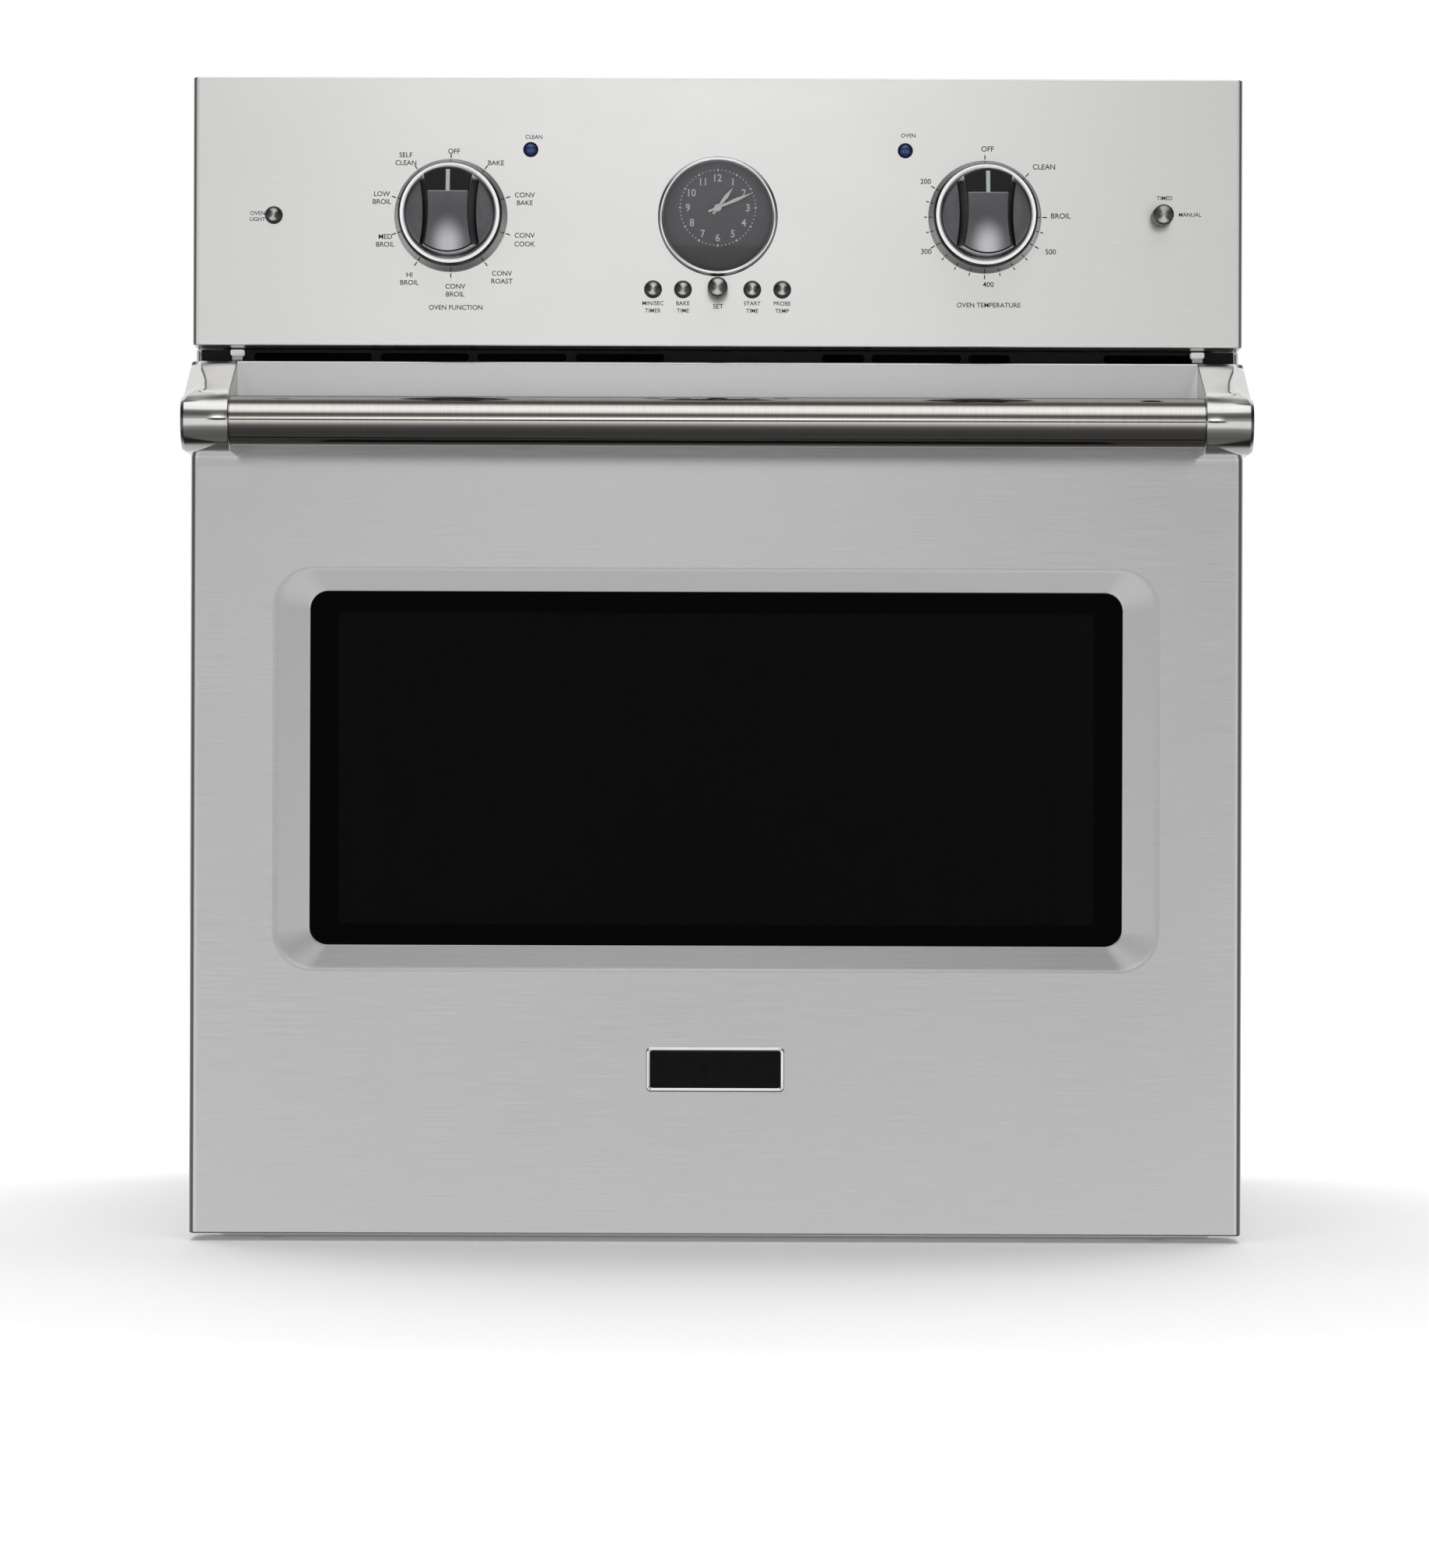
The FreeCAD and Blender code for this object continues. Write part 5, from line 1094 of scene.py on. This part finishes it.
casing.append((*bead(rr_uv(-250, -40, 90, 520, 30), lid), 0))
casing.append((*bead(rr_uv(40, 250, 90, 520, 30), lid), 0))
for u in (-300, -150, 0, 150, 300):
    heads.append((*screw_head(lid, u, 25), 0))
    heads.append((*screw_head(lid, u, 570), 0))


def rear_(u, v, h):
    return (u, 589.2 + min(h, 1.9), v)


casing.append((*bead(rr_uv(-265, 265, 395, 575, 24), rear_, width=9.0, height=1.6), 0))
casing.append((*bead(rr_uv(-225, -150, 190, 350, 20), rear_, width=9.0, height=1.6), 0))
casing.append((*bead(rr_uv(150, 225, 190, 350, 20), rear_, width=9.0, height=1.6), 0))
for u, v in ((-112, 258), (112, 258), (-112, 364), (112, 364)):
    heads.append((*screw_head(rear_, u, v, r=3.4, h=1.4), 0))
piece("casing_beads", casing, [M["zinc"]], "root", (), angle=60)
piece("casing_screws", heads, [M["screw"]], "root", (), angle=45)

# ---- clips in the gap over the door, each a folded tab with a small roller under it
clips = []
for s_ in (-1, 1):
    tab = [at(rrect(4.4 - d, 567.6 + d, 571.4 - d, 1.0 - d * 0.5, 5, cx=s_ * 309.4), y) for d, y in ((0.0, -14.1), (0.0, -19.2), (0.2, -19.6), (0.6, -19.8))]
    clips.append((*loft(tab, cap0=True, cap1=True), 0))
    clips.append((*lathe([(0, s_ * 309.4 - 3.6), (1.5, s_ * 309.4 - 3.6), (1.8, s_ * 309.4 - 3.3), (1.8, s_ * 309.4 + 3.3), (1.5, s_ * 309.4 + 3.6), (0, s_ * 309.4 + 3.6)],
                         0, -16.6, 565.6, 32, "X"), 1))
piece("gap_clips", clips, [M["clip"], M["screw"]], "root", (), angle=40)

# ------------------------------------------------------------------ stage: floor, light, camera
def stage_plane(name, verts, faces, mat):
    me = bpy.data.meshes.new(name)
    me.from_pydata(verts, [], faces)
    o = bpy.data.objects.new(name, me)
    scene.collection.objects.link(o)
    me.materials.append(mat)
    return o


fl = Mat("studio_floor", (0.86, 0.86, 0.86), 0.0, 0.75, Specular_IOR_Level=0.1)
nf = fl.noise(fl.co(2, 2, 2), 1.0, 3.0)
fl.color(fl.ramp(nf, [(0.3, (0.85, 0.85, 0.85)), (0.7, (0.87, 0.87, 0.87))]))
fl.set(fl.p, "Emission Color", (1, 1, 1, 1))
# painted light: the floor glows, weakly round the oven and strongly farther off so that it reads as white; the weaker
# glow near the oven leaves its foot darker as painted shade
fs_ = fl.split(fl.co())
fr_ = fl.math("SQRT", fl.math("ADD", fl.math("MULTIPLY", fs_[0], fs_[0]), fl.math("MULTIPLY", fs_[1], fs_[1])))
fl.link(fl.remap(fr_, 0.12, 0.80, 0.64, 1.6, smooth=True), fl.p.inputs["Emission Strength"])
floor = stage_plane("studio_floor_stage", [(-9, -9, -0.0005), (9, -9, -0.0005), (9, 9, -0.0005), (-9, 9, -0.0005)], [(0, 1, 2, 3)], fl.m)
floor.visible_glossy = False

world = bpy.data.worlds.new("studio")
scene.world = world
world.use_nodes = True
wt = world.node_tree
for n in list(wt.nodes):
    wt.nodes.remove(n)


def wn(kind, **props):
    n = wt.nodes.new(kind)
    for k, v in props.items():
        setattr(n, k, v)
    return n


def wmath(op, a, b=None, clamp=False):
    n = wn("ShaderNodeMath", operation=op, use_clamp=clamp)
    for i, v in enumerate((a, b)):
        if v is None:
            continue
        if isinstance(v, (int, float)):
            n.inputs[i].default_value = v
        else:
            wt.links.new(v, n.inputs[i])
    return n.outputs[0]


def wramp(fac, stops):
    n = wn("ShaderNodeValToRGB")
    wt.links.new(fac, n.inputs["Fac"])
    e = n.color_ramp.elements
    while len(e) > 1:
        e.remove(e[-1])
    e[0].position, e[0].color = stops[0][0], (stops[0][1],) * 3 + (1.0,)
    for pos, v in stops[1:]:
        k = e.new(pos)
        k.color = (v, v, v, 1.0)
    return n.outputs["Color"]


tc = wn("ShaderNodeTexCoord")
sep = wn("ShaderNodeSeparateXYZ")
wt.links.new(tc.outputs["Generated"], sep.inputs[0])
dx, dy, dz = sep.outputs
# elevation of the direction, -90 to 90 degrees, as 0 to 1
elev = wmath("ADD", wmath("DIVIDE", wmath("ARCSINE", dz), math.pi), 0.5)


def deg(e):
    return (e + 90.0) / 180.0


FRONT = [(-90, 0.16), (-60, 0.13), (-40, 0.17), (-26, 0.34), (-17, 0.98), (-7, 1.0), (3, 0.98), (9, 0.90), (14, 0.45), (20, 0.22),
         (28, 0.18), (33, 0.50), (38, 1.25), (56, 1.42), (70, 1.20), (80, 0.35), (90, 0.10)]
front = wramp(elev, [(deg(e), v) for e, v in FRONT])
back = wramp(elev, [(deg(-90), 0.5), (deg(-10), 0.75), (deg(10), 0.9), (deg(45), 1.0), (deg(66), 0.9), (deg(80), 0.3), (deg(90), 0.10)])


def wrange(value, a, b, lo, hi, smooth=True):
    n = wn("ShaderNodeMapRange", interpolation_type="SMOOTHSTEP" if smooth else "LINEAR")
    wt.links.new(value, n.inputs["Value"])
    for k, v in (("From Min", a), ("From Max", b), ("To Min", lo), ("To Max", hi)):
        n.inputs[k].default_value = v
    return n.outputs["Result"]


# bearing of the direction from straight out in front of the oven, in degrees, positive to the right
az = wmath("MULTIPLY", wmath("ARCTAN2", dx, wmath("MULTIPLY", dy, -1.0)), 180 / math.pi)
edeg = wmath("MULTIPLY", wmath("SUBTRACT", elev, 0.5), 180.0)
off = wmath("ABSOLUTE", wmath("ADD", az, 1.5))
# bright screens straight ahead, dim ones to the sides, and the dark gap between them where the camera stands
aside = wrange(off, 40.0, 58.0, 1.0, 0.16)
high = wrange(edeg, 66.0, 84.0, 0.0, 1.0)
aside = wmath("ADD", aside, wmath("MULTIPLY", wmath("SUBTRACT", 1.0, aside), high))
gx, ge = wmath("DIVIDE", az, 7.0), wmath("DIVIDE", wmath("SUBTRACT", edeg, 0.4), 3.0)
gap = wrange(wmath("SQRT", wmath("ADD", wmath("MULTIPLY", gx, gx), wmath("MULTIPLY", ge, ge))), 0.95, 1.5, 0.03, 1.0)
px, pe = wmath("DIVIDE", wmath("ADD", az, 0.6), 4.6), wmath("DIVIDE", wmath("SUBTRACT", edeg, 9.0), 3.4)
fall = wrange(wmath("ABSOLUTE", wmath("ADD", az, 0.6)), 1.5, 8.2, 1.22, 0.44)
fall = wmath("ADD", fall, wmath("MULTIPLY", wmath("SUBTRACT", 1.0, fall), wrange(edeg, 1.0, 4.5, 1.0, 0.0)))
fall = wmath("ADD", fall, wmath("MULTIPLY", wmath("SUBTRACT", 1.0, fall), wrange(edeg, 15.0, 30.0, 0.0, 1.0)))
front = wmath("MULTIPLY", front, fall)
patch = wmath("MULTIPLY", wmath("POWER", math.e, wmath("MULTIPLY", wmath("ADD", wmath("MULTIPLY", px, px), wmath("MULTIPLY", pe, pe)), -1.0)), 1.1)
front = wmath("MULTIPLY", wmath("MULTIPLY", wmath("ADD", front, patch), aside), gap)
rear_dim = wrange(off, 100.0, 138.0, 0.20, 1.0)
rear_dim = wmath("ADD", rear_dim, wmath("MULTIPLY", wmath("SUBTRACT", 1.0, rear_dim), high))
back = wmath("MULTIPLY", back, rear_dim)
side = wrange(dy, -0.05, 0.45, 0.0, 1.0)
mixw = wn("ShaderNodeMix", data_type="RGBA")
wt.links.new(side, mixw.inputs[0])
wt.links.new(front, mixw.inputs[6])
wt.links.new(back, mixw.inputs[7])
bg_env = wn("ShaderNodeBackground")
wt.links.new(mixw.outputs[2], bg_env.inputs["Color"])
bg_env.inputs["Strength"].default_value = 1.0
bg_cam = wn("ShaderNodeBackground")
bg_cam.inputs["Color"].default_value = (1, 1, 1, 1)
bg_cam.inputs["Strength"].default_value = 1.0
lp = wn("ShaderNodeLightPath")
mixs = wn("ShaderNodeMixShader")
wt.links.new(lp.outputs["Is Camera Ray"], mixs.inputs[0])
wt.links.new(bg_env.outputs[0], mixs.inputs[1])
wt.links.new(bg_cam.outputs[0], mixs.inputs[2])
wo = wn("ShaderNodeOutputWorld")
wt.links.new(mixs.outputs[0], wo.inputs["Surface"])


def area(name, loc, target, size, power, size_y=None, glossy=True):
    d = bpy.data.lights.new(name, "AREA")
    d.energy = power
    d.shape = "RECTANGLE"
    d.size = size
    d.size_y = size_y or size
    o = bpy.data.objects.new(name, d)
    scene.collection.objects.link(o)
    o.location = loc
    o.rotation_mode = "QUATERNION"
    o.rotation_quaternion = (Vector(target) - Vector(loc)).to_track_quat("-Z", "Y")
    o.visible_camera = False
    o.visible_glossy = glossy
    return o


area("key_top", (0.0, 0.9, 3.0), (0, 0.1, 0.2), 3.0, 75, 2.4, glossy=False)
area("fill_front", (0.0, -4.2, 1.6), (0, 0, 0.4), 3.0, 10, 2.0, glossy=False)

cam_data = bpy.data.cameras.new("camera")
cam = bpy.data.objects.new("camera", cam_data)
scene.collection.objects.link(cam)
cam_data.sensor_width = 36.0
cam_data.lens = 125.75
cam.location = (-0.001, -3.550, 0.2923)
cam.rotation_euler = (math.radians(90.0), math.radians(-0.18), 0.0)
scene.camera = cam
cam_data.clip_start, cam_data.clip_end = 0.1, 60.0
